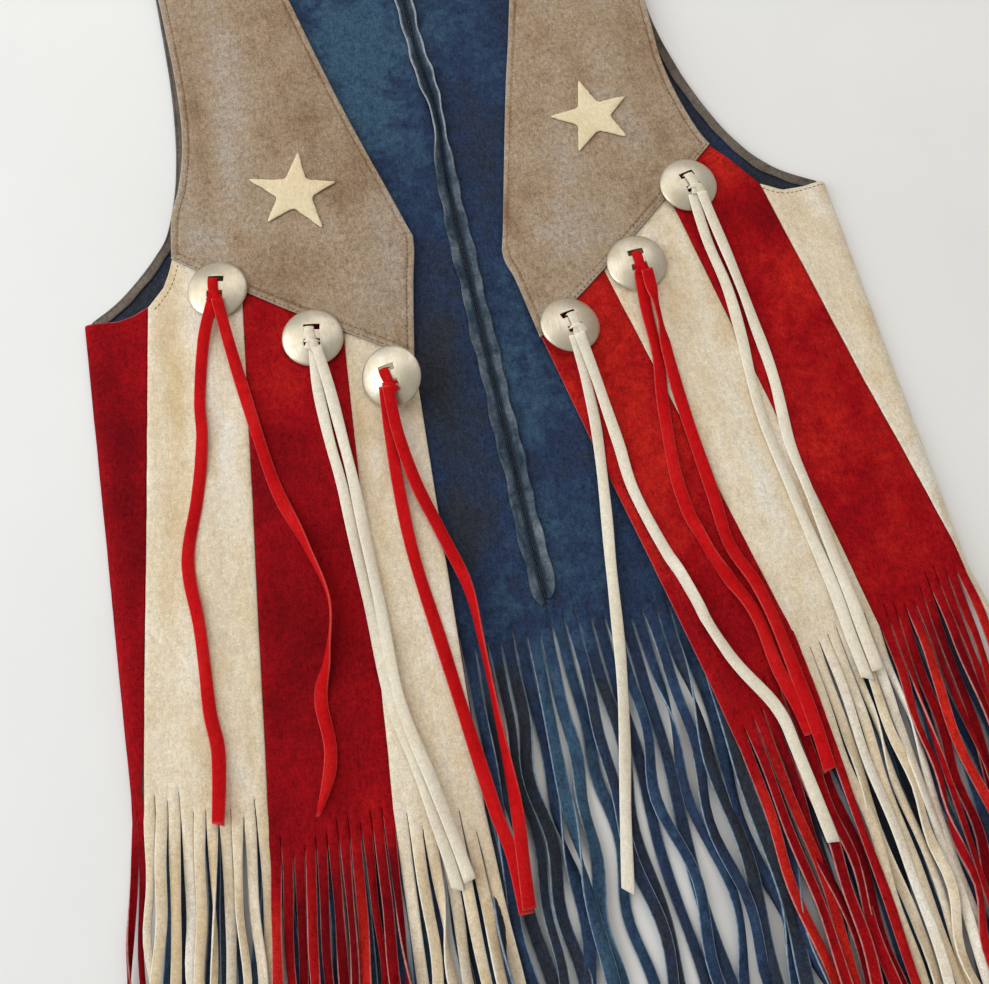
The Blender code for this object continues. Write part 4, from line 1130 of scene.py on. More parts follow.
def build_facing(front):
    """The taupe band inside the back's armhole."""
    name = "facing_band_" + front.name
    edge = curve_points(front.back_armhole, np.linspace(0.012, 0.96, 96))
    run = unit(np.gradient(edge, axis=0))
    inside = np.column_stack([-run[:, 1], run[:, 0]])
    widths = np.array([0.6, 0.9, 1.4, 1.9, 2.3, 2.7, 3.4, 4.6, 5.8, 6.7, FACING_WIDTH])
    fray = 0.5 * ripple(edge[:, 0], edge[:, 1], name, 16.0)
    reach = widths[None, :] + fray[:, None] * ease(3.0, FACING_WIDTH, widths)[None, :]
    plan = edge[:, None] + inside[:, None] * reach[:, :, None]
    x = front.side * plan[..., 0]
    y = plan[..., 1]
    z = SUEDE + SEAM_GAP + TRIM + back_lift(x, y) + 1.4 * groove(reach, 2.3)
    points = np.stack([x, y, z], axis=-1)
    top, quads = as_sheet(points)
    item = shell(name, top, quads, TRIM, "facing")
    finish_piece(item, "taupe", "armhole_facing_" + front.name)
    return item


def seam_bend(up):
    """How far the puckered back seam wanders to the right."""
    return 4.2 * np.exp(-((up - 100.0) / 38.0) ** 2)


def build_allowance(front):
    """The turned-open seam allowance of one half of the back, with its raw edge standing up in waves."""
    name = "seam_allowance_" + front.name
    dice = random.Random(name)
    low = BACK_HEM[front.name][0] + 6.0
    high = BACK_NECK_UP - 6.0
    rounded = low + np.array([0.0, 0.4, 1.2, 2.5, 4.5])
    up = np.concatenate([rounded, np.arange(low + 7.0, high, 2.5), [high]])
    shares_across = np.array([0.0, 0.08, 0.2, 0.35, 0.5, 0.65, 0.8, 0.9, 0.96, 1.0])
    standing = np.exp(-((up - 84.0) / 26.0) ** 2)
    fray = 0.5 * wave(dice, up, 55.0, 80.0) + 0.5 * wave(dice, up, 22.0, 34.0)
    wide = (mix(ALLOWANCE_WIDTH, 5.6, ease(40.0, 110.0, up)) + fray) * (1.0 - 0.45 * standing)
    wide = wide * np.sqrt(np.clip(1.0 - (1.0 - np.clip((up - low + 0.6) / 8.0, 0.0, 1.0)) ** 2, 0.0, 1.0))
    curl = 1.6 + 0.7 * wave(dice, up, 50.0, 80.0) + 0.5 * wave(dice, up, 20.0, 32.0) + 2.0 * standing
    curl = curl * mix(0.6, 1.0, ease(20.0, 70.0, up))
    out = SEAM_GAP + shares_across[None, :] * wide[:, None]
    y = np.repeat(up[:, None], len(shares_across), axis=1)
    x = front.side * out + seam_bend(y)
    rise = curl[:, None] * ease(0.25, 1.0, shares_across)[None, :]
    rise = rise + 0.5 * ease(0.0, 0.2, shares_across)[None, :]
    z = SUEDE + SEAM_GAP + TRIM - 0.6 + back_lift(x, y) + rise + 0.12 * ripple(x, y, name, 9.0)
    points = np.stack([x, y, z], axis=-1)
    top, quads = as_sheet(points)
    upper = ease(48.0, 92.0, up)
    pale = mix(0.06, 0.9, upper)[:, None] * ease(0.66, 0.92, shares_across)[None, :]
    faded = 0.16 * (1.0 - upper)[:, None] * (1.0 + ripple(x, y, name, 26.0))
    # The paler raw edge and the faded lower part are the allowance's own colour; the darkening towards the
    # seam line is painted shade in the valley between the two allowances.
    tone = 1.5 * pale + faded - 1.1 * ease(0.45, 0.0, shares_across)[None, :]
    raw = mix(0.22, 0.9, upper)[:, None] * np.where(shares_across > 0.99, 1.0, 0.0)
    item = shell(name, top, quads, TRIM, "seam", tone.ravel(), raw.ravel())
    finish_piece(item, "navy", "back_seam_" + front.name)
    return item


def build_star(front):
    """A five-point star that lies on its yoke, with its middle a little full."""
    name = "star_patch_" + front.name
    corners = []
    for index in range(11):
        angle = math.radians(90.0 + front.star.lean + 36.0 * index)
        radius = STAR_RADIUS * (STAR_WAIST if index % 2 else front.star.reaches[index // 2 % 5])
        corners.append((radius * math.cos(angle), radius * math.sin(angle)))
    outline = []
    for low, high in zip(corners, corners[1:]):
        for share in np.linspace(0.0, 1.0, 11)[:-1]:
            outline.append(mix(np.array(low), np.array(high), share))
    outline = np.array(outline)
    outline = (np.roll(outline, 1, axis=0) + outline + np.roll(outline, -1, axis=0)) / 3.0
    outline += 0.25 * ripple(outline[:, 0] * 9.0, outline[:, 1] * 9.0, name, 30.0)[:, None]
    rings = np.array([0.12, 0.25, 0.38, 0.5, 0.62, 0.74, 0.84, 0.92, 0.97, 1.0])
    plan = np.concatenate([np.zeros((1, 2)), (outline[None] * rings[:, None, None]).reshape(-1, 2)])
    x = plan[:, 0] + front.side * front.star.out
    y = plan[:, 1] + front.star.up
    share = np.concatenate([[0.0], np.repeat(rings, len(outline))])
    z = yoke_height(front, front.side * x, y) + SEAM_GAP + TRIM + 0.15 + suede_ripple(x, y, name)
    z = z + 0.35 * ease(1.0, 0.75, share)
    top = np.column_stack([x, y, z])
    count = len(outline)
    index = numbered(len(rings), count, 1)
    index = np.column_stack([index, index[:, :1]])
    fan = [(0, index[0, k], index[0, k + 1], index[0, k + 2]) for k in range(0, count, 2)]
    quads = np.concatenate([index_quads(index)[:, ::-1], np.array(fan)])
    item = shell(name, top, quads, TRIM, "star")
    finish_piece(item, "cream", "star_" + front.name)
    return item


# Stitching

def inset_line(line, inside, distance):
    """A plan line moved towards an inside point by a distance."""
    run = unit(np.gradient(line, axis=0))
    normal = np.column_stack([-run[:, 1], run[:, 0]])
    towards = ((np.array(inside) - line) * normal).sum(axis=1)
    return line + normal * np.where(towards >= 0.0, 1.0, -1.0)[:, None] * distance


def stitch_mesh(name, lines, material):
    """Thread stitches along lines of surface points, as short rounded lengths sunk into the suede."""
    sizes = bpy.context.scene.vest_sizes
    pitch = sizes.stitch_pitch / MM
    half = sizes.stitch_length / MM / 2
    radius = sizes.thread / MM / 2
    dice = random.Random(name)
    sides = STITCH_SIDES
    ring = [(math.cos(math.tau * k / sides), math.sin(math.tau * k / sides)) for k in range(sides)]
    points = []
    faces = []
    for line in lines:
        steps = np.linalg.norm(np.diff(line, axis=0), axis=1)
        reached = np.concatenate([[0.0], np.cumsum(steps)])
        for place in np.arange(pitch / 2, reached[-1], pitch):
            place += dice.uniform(-0.25, 0.25)
            ends = [np.array([np.interp(place + step, reached, line[:, axis]) for axis in range(3)])
                    for step in (-half, half)]
            centre = (ends[0] + ends[1]) / 2
            run = ends[1] - ends[0]
            turned = dice.uniform(-0.12, 0.12)
            run = np.array([run[0] - turned * run[1], run[1] + turned * run[0], run[2]]) / 2
            side = np.array([-run[1], run[0], 0.0])
            side = side / (np.linalg.norm(side) + 1e-9)
            start = len(points)
            for along, thick, rise in STITCH_STATIONS:
                for cosine, sine in ring:
                    points.append(centre + run * along + side * cosine * radius * thick
                                  + np.array([0.0, 0.0, radius * (0.35 + rise + sine * thick)]))
            for low in range(start, len(points) - sides, sides):
                for k in range(sides):
                    after = (k + 1) % sides
                    faces.append((low + k, low + sides + k, low + sides + after, low + after))
            faces.append(tuple(range(start, start + sides)))
            faces.append(tuple(reversed(range(len(points) - sides, len(points)))))
    return new_object(name, np.array(points), faces, material, {})


def on_front(front, line, layer, dent):
    """A plan line laid on a front's stripes or yoke, just in its dent."""
    out = line[:, 0]
    up = line[:, 1]
    x = front.side * out
    name = "yoke_front_" + front.name if layer is yoke_height else "stripes"
    height = layer(front, out, up) + suede_ripple(x, up, name) - dent
    return np.column_stack([x, up, height])


def build_front_stitches(front):
    """Topstitching of one front: round its yoke, along the underarm and along the front edge."""
    hues = bpy.context.scene.vest_colours
    topstitch = bpy.context.scene.vest_sizes.topstitch / MM
    middle = (110.0, 60.0)
    neck = curve_points(front.yoke_edge, np.linspace(0.004, 1.0, 200))
    armhole = curve_points(front.armhole, np.linspace(0.01, 1.0, 160))
    out = np.linspace(front.yoke_edge[0].out + 1.0, front.underarm[0].out - 1.0, 120)
    diagonal = np.column_stack([out, diagonal_up(front, out)])
    lines = [on_front(front, inset_line(neck, middle, topstitch), yoke_height, 0.3),
             on_front(front, inset_line(armhole, middle, topstitch), yoke_height, 0.3)]
    for inset in (SEAM_ROW, topstitch + SECOND_ROW):
        lines.append(on_front(front, inset_line(diagonal, middle, inset), yoke_height, 0.3))
    threads = {"brown": thread_material("thread_brown", hues.thread_brown),
               "red": thread_material("thread_red", hues.thread_red)}
    finish_piece(stitch_mesh("stitches_yoke_" + front.name, lines, threads["brown"]), "taupe")
    underarm = curve_points(front.underarm, np.linspace(0.02, 0.98, 200))
    for hem in UNDERARM_HEMS[front.name]:
        part = underarm[(underarm[:, 0] > hem.low) & (underarm[:, 0] < hem.high)]
        line = on_front(front, inset_line(part, (200.0, -120.0), hem.inset), front_height, 0.05)
        name = f"stitches_underarm_{hem.thread}_{front.name}"
        slot = "cream" if hem.thread == "brown" else "red"
        finish_piece(stitch_mesh(name, [line], threads[hem.thread]), slot)
    for hem in EDGE_HEMS[front.name]:
        up = np.linspace(hem.low, hem.high, 120)
        edge = np.column_stack([front_edge_out(front, up) + hem.inset, up])
        line = on_front(front, edge, front_height, -0.05)
        finish_piece(stitch_mesh("stitches_edge_" + front.name, [line], threads[hem.thread]), "red")


def build_back_stitches():
    """Stitching of the centre-back seam, which shows on the turned-open allowances."""
    navy = thread_material("thread_navy", bpy.context.scene.vest_colours.thread_navy)
    lines = []
    for front in FRONTS:
        up = np.linspace(BACK_HEM[front.name][0] + 10.0, BACK_NECK_UP - 8.0, 200)
        x = front.side * 1.1 + seam_bend(up)
        height = SUEDE + SEAM_GAP + TRIM + back_lift(x, up) - 0.25
        lines.append(np.column_stack([x, up, height]))
    finish_piece(stitch_mesh("stitches_back_seam", lines, navy), "navy")


# Conchos

def dome(radius):
    """Outer face of a concho over its rim's plane."""
    ball = (CONCHO_RADIUS ** 2 + CONCHO_RISE ** 2) / (2.0 * CONCHO_RISE)
    return math.sqrt(max(ball ** 2 - radius ** 2, 0.0)) - (ball - CONCHO_RISE) + CONCHO_SHEET


def surface_under(front, x, y):
    """The yoke or the stripes, whichever is uppermost at a plan point."""
    out = front.side * x
    if y > diagonal_up(front, out):
        return float(yoke_height(front, out, y))
    return float(front_height(front, out, y))


def concho_seat(front, concho):
    """The plane that a concho's rim lies in, just over the highest suede under it."""
    x = front.side * concho.out
    y = concho.up
    reach = CONCHO_RADIUS
    slope_x = (surface_under(front, x + reach, y) - surface_under(front, x - reach, y)) / (2 * reach)
    slope_x += concho.lean_x
    slope_y = (surface_under(front, x, y + reach) - surface_under(front, x, y - reach)) / (2 * reach)
    slope_y += concho.lean_y
    height = 0.0
    for ring in (0.35, 0.7, 1.0):
        for index in range(24):
            step_x = reach * ring * math.cos(math.tau * index / 24)
            step_y = reach * ring * math.sin(math.tau * index / 24)
            plane = slope_x * step_x + slope_y * step_y
            room = max(dome(reach * ring) - 2 * CONCHO_SHEET, 0.0) if ring < 1.0 else 0.0
            height = max(height, surface_under(front, x + step_x, y + step_y) - plane - room)
    return Seat(x, y, height + SEAM_GAP, slope_x, slope_y)


def seat_matrix(seat, turn):
    """Where a concho lies: its seat's plane, turned about its own axis."""
    normal = Vector((-seat.slope_x, -seat.slope_y, 1.0)).normalized()
    tilt = Vector((0.0, 0.0, 1.0)).rotation_difference(normal).to_matrix().to_4x4()
    spin = Matrix.Rotation(math.radians(turn), 4, "Z")
    return Matrix.Translation(to_frame((seat.x, seat.y, seat.height))) @ tilt @ spin


def deselect_all():
    """Leave nothing selected and no mesh in edit mode."""
    if bpy.context.object and bpy.context.object.mode != "OBJECT":
        bpy.ops.object.mode_set(mode="OBJECT")
    bpy.ops.object.select_all(action="DESELECT")


def model_concho():
    """A concho at the origin: a disc drawn up into a dome by insets, given its sheet and cut for its lace."""
    deselect_all()
    bpy.ops.mesh.primitive_circle_add(vertices=CONCHO_SIDES, radius=CONCHO_RADIUS * MM, fill_type="NGON",
                                      location=(0.0, 0.0, 0.0))
    disc = bpy.context.object
    disc.name = "concho_pattern"
    bpy.ops.object.mode_set(mode="EDIT")
    bpy.ops.mesh.select_all(action="SELECT")
    bpy.ops.transform.translate(value=(0.0, 0.0, CONCHO_SHEET * CONCHO_RIM * MM))
    reached = CONCHO_RADIUS
    level = CONCHO_SHEET * CONCHO_RIM
    for radius in CONCHO_RINGS:
        bpy.ops.mesh.inset(thickness=(reached - radius) * MM)
        bpy.ops.transform.translate(value=(0.0, 0.0, (dome(radius) - level) * MM))
        reached = radius
        level = dome(radius)
    bpy.ops.mesh.poke()
    bpy.ops.object.mode_set(mode="OBJECT")
    wall = disc.modifiers.new("sheet", "SOLIDIFY")
    wall.thickness = CONCHO_SHEET * CONCHO_WALL * MM
    wall.offset = -1.0
    bpy.ops.object.modifier_apply(modifier=wall.name)
    cutters = []
    for offset in (-SLOT_OFFSET, SLOT_OFFSET):
        bpy.ops.object.select_all(action="DESELECT")
        bpy.ops.mesh.primitive_cube_add(size=1.0, location=(0.0, offset * MM, 0.0))
        cutter = bpy.context.object
        bpy.ops.object.mode_set(mode="EDIT")
        bpy.ops.mesh.select_all(action="SELECT")
        bpy.ops.transform.resize(value=(SLOT_LENGTH * MM, SLOT_WIDTH * MM, SLOT_DEPTH * MM))
        bpy.ops.object.mode_set(mode="OBJECT")
        cutters.append(cutter)
    bpy.ops.object.select_all(action="DESELECT")
    disc.select_set(True)
    bpy.context.view_layer.objects.active = disc
    for cutter in cutters:
        cut = disc.modifiers.new("slot", "BOOLEAN")
        cut.operation = "DIFFERENCE"
        cut.solver = "EXACT"
        cut.object = cutter
        bpy.ops.object.modifier_apply(modifier=cut.name)
    soft = disc.modifiers.new("worn edges", "BEVEL")
    soft.width = CONCHO_WEAR * MM
    soft.segments = 2
    soft.limit_method = "ANGLE"
    soft.angle_limit = math.radians(CONCHO_BEVEL_ANGLE)
    bpy.ops.object.modifier_apply(modifier=soft.name)
    bpy.ops.object.shade_smooth_by_angle(angle=math.radians(CONCHO_SMOOTH_ANGLE))
    for cutter in cutters:
        bpy.data.objects.remove(cutter, do_unlink=True)
    return disc


def build_conchos():
    """The six conchos, copied from one pattern and laid on their seats."""
    pattern = model_concho()
    nickel = nickel_material()
    for front in FRONTS:
        for number, concho in enumerate(front.conchos, start=1):
            name = f"domed_concho_{front.name}_{number}"
            mesh = pattern.data.copy()
            mesh.name = name
            mesh.transform(seat_matrix(concho_seat(front, concho), concho.turn))
            mesh.materials.clear()
            mesh.materials.append(nickel)
            item = bpy.data.objects.new(name, mesh)
            bpy.context.scene.collection.objects.link(item)
            finish_piece(item, "nickel", f"concho_{front.name}_{number}")
    bpy.data.objects.remove(pattern, do_unlink=True)


# Laces

def fringe_cover(front, out, up):
    """Whether the fringe of a front lies under a plan point below its hem."""
    last = front.stripes[-1]
    drift = math.tan(math.radians(last.flow_inner)) * (last.hem_inner_up - up)
    return up < last.hem_inner_up + 70.0 and out > last.hem_inner + drift - FRONT_SWAY - 1.0


def ground(front, seats, x, y):
    """The highest thing that a lace can lie on at a plan point."""
    out = front.side * x
    height = SUEDE
    if y < max(BACK_HEM[front.name]) + 4.0:
        height = BACK_LEVEL + FRINGE_DEPTH
    if out > front_edge_out(front, y) - 1.0:
        height = max(height, float(front_height(front, out, y)))
    hem_up = -1000.0
    for stripe in front.stripes:
        if stripe.hem_inner - 2.0 <= out <= stripe.hem_outer + 2.0:
            hem_up = max(hem_up, stripe.hem_inner_up, stripe.hem_outer_up)
    if fringe_cover(front, out, y) and y < max(hem_up, front.stripes[-1].hem_inner_up) + 6.0:
        height = max(height, FRONT_LEVEL + FRINGE_DEPTH)
    for seat in seats:
        radius = math.hypot(x - seat.x, y - seat.y)
        if radius < CONCHO_RADIUS + 1.0:
            upright = 1.0 / math.sqrt(1.0 + seat.slope_x ** 2 + seat.slope_y ** 2)
            rise = dome(min(radius, CONCHO_RADIUS)) * upright
            foot_x = x - seat.x + seat.slope_x * rise
            foot_y = y - seat.y + seat.slope_y * rise
            climb = seat.slope_x * foot_x + seat.slope_y * foot_y
            reach = math.sqrt(foot_x ** 2 + foot_y ** 2 + climb ** 2)
            height = max(height, seat.height + climb + dome(min(reach, CONCHO_RADIUS)) * upright)
    return height


def lace_path(front, seats, rows, under):
    """Points along a lace's upper side: its route in plan, draped over the vest and the tail under it."""
    route = [curve_point(rows, share) for share in np.linspace(0.0, 1.0, LACE_STEPS + 1)]
    reach = LACE_WIDTH / 2 + LACE_CLEAR
    floor = []
    for index, (out, up) in enumerate(route):
        ahead = route[min(index + 1, LACE_STEPS)]
        behind = route[max(index - 1, 0)]
        run = Vector((ahead[0] - behind[0], ahead[1] - behind[1])).normalized()
        height = 0.0
        for step in (-reach, -reach / 2, 0.0, reach / 2, reach):
            x = front.side * (out - run.y * step)
            y = up + run.x * step
            height = max(height, ground(front, seats, x, y))
            for point in under:
                if math.hypot(point[0] - x, point[1] - y) < reach:
                    height = max(height, point[2])
        floor.append(height + SEAM_GAP + LACE)
    heights = list(floor)
    for _ in range(LACE_ROUNDS):
        for index in range(1, LACE_STEPS):
            heights[index] = max(floor[index], (heights[index - 1] + heights[index + 1]) / 2 - LACE_SAG)
    return np.array([(front.side * out, up, height) for (out, up), height in zip(route, heights)])


def ribbon(centre, side, face, width):
    """Points over a flat lace's upper side, row by row, a little higher along its middle."""
    reach = np.array(STRAND_COLUMNS)[None, :, None] - 0.5
    return (centre[:, None] + side[:, None] * reach * np.asarray(width).reshape(-1, 1, 1)
            - face[:, None] * LACE_ARCH * reach ** 2)


def build_tail(front, number, end, path, colour_name):
    """One free end of a lace, a flat strip of suede along its path, turned on its edge in places."""
    name = f"lace_tail_{front.name}_{number}_{end}"
    dice = random.Random(name)
    run = unit(np.gradient(path, axis=0))
    flat = unit(np.column_stack([-run[:, 1], run[:, 0], np.zeros(len(run))]))
    upward = np.cross(run, flat)
    upward = upward * np.sign(upward[:, 2])[:, None]
    share = np.linspace(0.0, 1.0, len(path))
    angle = math.radians(LACE_LEAN) * wave(dice, share * LACE_LONG, 120.0, 210.0) * ease(0.05, 0.2, share)
    label = f"{front.name}_{number}_{end}"
    twist = LACE_TWISTS.get(label)
    if twist:
        angle = angle + math.radians(twist.degrees) * np.exp(-((share - twist.share) / twist.reach) ** 4)
    angle = angle[:, None]
    lean = flat * np.cos(angle) + upward * np.sin(angle)
    width = LACE_WIDTH * (LACE_FULL[colour_name] + 0.05 * wave(dice, share * LACE_LONG, 60.0, 110.0))
    centre = path + np.array([0.0, 0.0, 1.0]) * np.abs(np.sin(angle)) * LACE_WIDTH / 2
    face = np.cross(run, lean)
    face = face * np.sign((face * upward).sum(axis=1))[:, None]
    points = ribbon(centre, lean, face, width)
    points[-1] += run[-1] * (np.array(STRAND_COLUMNS)[:, None] - 0.5) * dice.uniform(-3.0, 4.0)
    if label in LACE_POINTS:
        pointed = np.clip((share - LACE_POINT_START) / (1.0 - LACE_POINT_START), 0.0, 1.0)
        left_edge = points[:, :1]
        points = left_edge + (points - left_edge) * (1.0 - LACE_POINT_SLIM * pointed)[:, None, None]
    top, quads = as_sheet(points)
    item = shell(name, top, quads, LACE, "lace_" + colour_name)
    finish_piece(item, colour_name, "lace_" + label)
    middle = to_frame(centre - face * LACE / 2)
    return item, middle


def knot_strip(rows, widths, tilts):
    """One stretch of a lace at its concho, through points in the concho's own millimetres."""
    shares = np.linspace(0.0, 1.0, KNOT_STEPS)
    centre = curve_points(rows, shares)
    run = np.gradient(centre, axis=0)
    side = unit(np.column_stack([run[:, 1], -run[:, 0], np.zeros(len(run))]))
    face = unit(np.cross(side, run))
    angle = np.radians(np.interp(shares, np.linspace(0.0, 1.0, len(tilts)), tilts))[:, None]
    lean = side * np.cos(angle) + face * np.sin(angle)
    width = np.interp(shares, np.linspace(0.0, 1.0, len(widths)), widths)
    return ribbon(centre, lean, face * np.cos(angle) - side * np.sin(angle), width)


def build_loop(front, number, concho, seat):
    """A lace at its concho: out of the upper slot, over the bar, and crossed at the lower slot."""
    name = f"lace_knot_{front.name}_{number}"
    dice = random.Random(name)
    crown = dome(SLOT_OFFSET)
    top = dome(0.0)
    slot = SLOT_OFFSET + LACE / 2
    shift = KNOT_SHIFTS[f"{front.name}_{number}"]
    band = ((shift, slot + 0.3, crown - 2.4), (shift, slot, crown - 0.6), (shift, slot - 0.5, crown + 0.8),
            (shift, slot - 1.8, crown + 1.6), (shift * 0.8, 1.2, top + 1.7), (shift * 0.4, -2.4, top + 2.0),
            (0.0, -4.6, crown + 2.0), (0.2, -7.0, crown + 1.0))
    under = ((3.9, -3.8, crown - 0.6), (3.5, -4.3, crown + 1.0), (1.6, -5.2, crown + 2.2),
             (-0.8, -7.2, crown + 2.1), (-1.9, -10.6, crown + 1.3))
    over = ((-3.8, -3.4, crown - 0.6), (-3.4, -3.9, crown + 1.5), (-1.4, -4.8, crown + 3.1),
            (1.2, -7.0, crown + 3.2), (2.6, -11.2, crown + 1.9))
    tilt = dice.uniform(-8.0, 8.0)
    strips = (knot_strip(band, (6.3, 6.4, 6.0, 5.4), (0.0, 0.0, tilt, -tilt)),
              knot_strip(under, (3.2, 4.6, 6.0), (-16.0, 12.0, 0.0)),
              knot_strip(over, (3.2, 4.4, 6.2), (20.0, -14.0, 4.0)))
    tops = []
    quads = []
    total = 0
    for strip in strips:
        points, flat = as_sheet(strip)
        turned, _ = upward_quads(points, flat)
        tops.append(points)
        quads.append(turned + total)
        total += len(points)
    turn = np.array(seat_matrix(seat, concho.turn))
    local = np.concatenate(tops) * MM
    placed = (local @ turn[:3, :3].T + turn[:3, 3]) / MM - (0.0, CHEST_Y, 0.0)
    item = shell(name, placed, np.concatenate(quads), LACE * KNOT_SHEET, "lace_" + concho.lace, None, 0.0)
    return finish_piece(item, concho.lace, f"lace_{front.name}_{number}_loop")


def build_laces(front):
    """The three laces of one front: loops and tails."""
    seats = [concho_seat(front, concho) for concho in front.conchos]
    for number, (concho, seat) in enumerate(zip(front.conchos, seats), start=1):
        loop = build_loop(front, number, concho, seat)
        path_a = lace_path(front, seats, concho.tail_a, [])
        path_b = lace_path(front, seats, concho.tail_b, path_a)
        for end, path in (("a", path_a), ("b", path_b)):
            item, middle = build_tail(front, number, end, path, concho.lace)


# Stage

def build_camera():
    """The camera, nearly overhead."""
    data = bpy.data.cameras.new("camera")
    data.sensor_fit = "HORIZONTAL"
    data.sensor_width = SENSOR
    data.lens = SENSOR * FOCAL_PIXELS / PHOTO_WIDE
    data.clip_start = 0.01
    data.clip_end = 50.0
    camera = bpy.data.objects.new("camera", data)
    camera.location = CAMERA_PLACE
    camera.rotation_euler = CAMERA_TILT
    bpy.context.scene.collection.objects.link(camera)
    bpy.context.scene.camera = camera


def build_floor():
    """A pale, faintly uneven floor."""
    deselect_all()
    bpy.ops.mesh.primitive_plane_add(size=FLOOR_SIZE, location=(0.0, 0.0, 0.0))
    floor = bpy.context.object
    floor.name = "floor"
    bpy.ops.object.mode_set(mode="EDIT")
    bpy.ops.mesh.subdivide(number_cuts=FLOOR_CUTS)
    bpy.ops.transform.translate(value=(0.0, 0.0, -FLOOR_DROP))
    bpy.ops.object.mode_set(mode="OBJECT")
    material, wire, shader = new_material("pale_floor")
    value = bpy.context.scene.vest_colours.floor
    clouds = wire.noise(wire.add("TexCoord").outputs["Object"], 6.0, 4.0)
    tint = wire.blend(wire.range(clouds, 0.35, 0.65), plain_colour([part * 0.97 for part in value]),
                      plain_colour(value))
    wire.tree.links.new(tint, shader.inputs["Base Color"])
    shader.inputs["Roughness"].default_value = 0.9
    shader.inputs["Specular IOR Level"].default_value = 0.2
    floor.data.materials.append(material)


def area_light(row, power):
    """A square soft light that points at the middle of the vest."""
    data = bpy.data.lights.new(row.name, "AREA")
    data.shape = "SQUARE"
    data.size = row.size
    data.energy = power
    data.color = row.tint
    light = bpy.data.objects.new(row.name, data)
    light.location = row.place
    light.rotation_euler = (-Vector(row.place)).to_track_quat("-Z", "Y").to_euler()
    bpy.context.scene.collection.objects.link(light)


def build_lights():
    """Soft lights from the left and from above the neck, and even light all round."""
    sizes = bpy.context.scene.vest_sizes
    for row in LIGHTS:
        area_light(row, sizes.key_power * row.share)
    world = bpy.data.worlds.new("studio")
    world.use_nodes = True
    background = world.node_tree.nodes["Background"]
    background.inputs["Color"].default_value = SKY_TINT
    background.inputs["Strength"].default_value = sizes.sky
    bpy.context.scene.world = world
    bpy.context.scene.view_settings.view_transform = "Standard"


# Operators and panel

class VEST_OT_stage(bpy.types.Operator):
    """Set up the camera, the pale floor and the soft light"""

    bl_idname = "vest.stage"
    bl_label = "Stage"

    def execute(self, context):
        build_camera()
        build_floor()
        build_lights()
        return {"FINISHED"}


class VEST_OT_laces(bpy.types.Operator):
    """Lay the laces over the conchos and down the fronts"""

    bl_idname = "vest.laces"
    bl_label = "Laces"

    def execute(self, context):
        for front in FRONTS:
            build_laces(front)
        return {"FINISHED"}


class VEST_OT_backs(bpy.types.Operator):
    """Lay the two halves of the back with their fringe"""

    bl_idname = "vest.backs"
    bl_label = "Back"

    def execute(self, context):
        for front in FRONTS:
            build_back(front)
        return {"FINISHED"}


class VEST_OT_trims(bpy.types.Operator):
    """Lay the back's seam allowances and armhole facings"""

    bl_idname = "vest.trims"
    bl_label = "Seam allowances and facings"

    def execute(self, context):
        for front in FRONTS:
            build_allowance(front)
            build_facing(front)
        return {"FINISHED"}


class VEST_OT_stripes(bpy.types.Operator):
    """Lay the stripes of both fronts with their fringe"""

    bl_idname = "vest.stripes"
    bl_label = "Stripes"

    def execute(self, context):
        for front in FRONTS:
            for number, stripe in enumerate(front.stripes, start=1):
                build_stripe(front, number, stripe)
        return {"FINISHED"}


class VEST_OT_yokes(bpy.types.Operator):
    """Lay the yokes over the stripes"""

    bl_idname = "vest.yokes"
    bl_label = "Yokes"

    def execute(self, context):
        for front in FRONTS:
            build_yoke(front)
        return {"FINISHED"}


class VEST_OT_stars(bpy.types.Operator):
    """Lay a star on each yoke"""

    bl_idname = "vest.stars"
    bl_label = "Stars"

    def execute(self, context):
        for front in FRONTS:
            build_star(front)
        return {"FINISHED"}


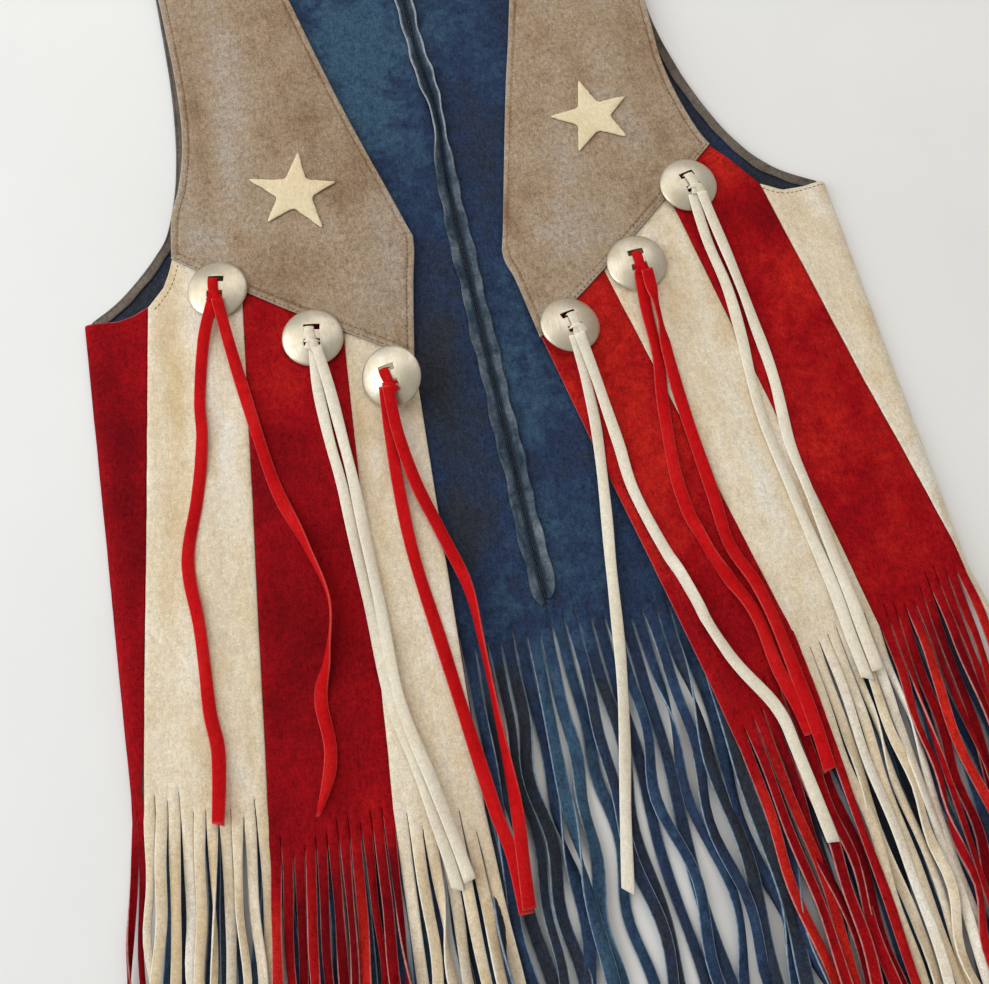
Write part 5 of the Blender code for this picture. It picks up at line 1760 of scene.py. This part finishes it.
class VEST_OT_stitches(bpy.types.Operator):
    """Sew the topstitching of the fronts and of the back seam"""

    bl_idname = "vest.stitches"
    bl_label = "Stitching"

    def execute(self, context):
        for front in FRONTS:
            build_front_stitches(front)
        build_back_stitches()
        return {"FINISHED"}


class VEST_OT_conchos(bpy.types.Operator):
    """Model one concho and lay its six copies along the yoke seams"""

    bl_idname = "vest.conchos"
    bl_label = "Conchos"

    def execute(self, context):
        build_conchos()
        return {"FINISHED"}


OPERATORS = (VEST_OT_stage, VEST_OT_laces, VEST_OT_backs, VEST_OT_trims, VEST_OT_stripes, VEST_OT_yokes,
             VEST_OT_stars, VEST_OT_stitches, VEST_OT_conchos)


class VEST_PT_sidebar(bpy.types.Panel):
    """The vest's pieces, sizes and colours"""

    bl_idname = "VEST_PT_sidebar"
    bl_label = "Fringed Suede Vest"
    bl_space_type = "VIEW_3D"
    bl_region_type = "UI"
    bl_category = "Vest"

    def draw(self, context):
        for operator in OPERATORS:
            self.layout.operator(operator.bl_idname)
        for group in (context.scene.vest_sizes, context.scene.vest_colours):
            for name in group.bl_rna.properties.keys():
                if name not in ("rna_type", "name"):
                    self.layout.prop(group, name)


CLASSES = (VestColours, VestSizes, *OPERATORS, VEST_PT_sidebar)


def register():
    """Add the classes and the vest's settings."""
    for kind in CLASSES:
        bpy.utils.register_class(kind)
    bpy.types.Scene.vest_colours = PointerProperty(type=VestColours)
    bpy.types.Scene.vest_sizes = PointerProperty(type=VestSizes)


def unregister():
    """Remove the classes and the vest's settings."""
    del bpy.types.Scene.vest_sizes
    del bpy.types.Scene.vest_colours
    for kind in reversed(CLASSES):
        bpy.utils.unregister_class(kind)


def main():
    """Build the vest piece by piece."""
    register()
    bpy.ops.vest.stage()
    bpy.ops.vest.laces()
    bpy.ops.vest.backs()
    bpy.ops.vest.trims()
    bpy.ops.vest.stripes()
    bpy.ops.vest.yokes()
    bpy.ops.vest.stars()
    bpy.ops.vest.stitches()
    bpy.ops.vest.conchos()


if __name__ == "__main__":
    main()
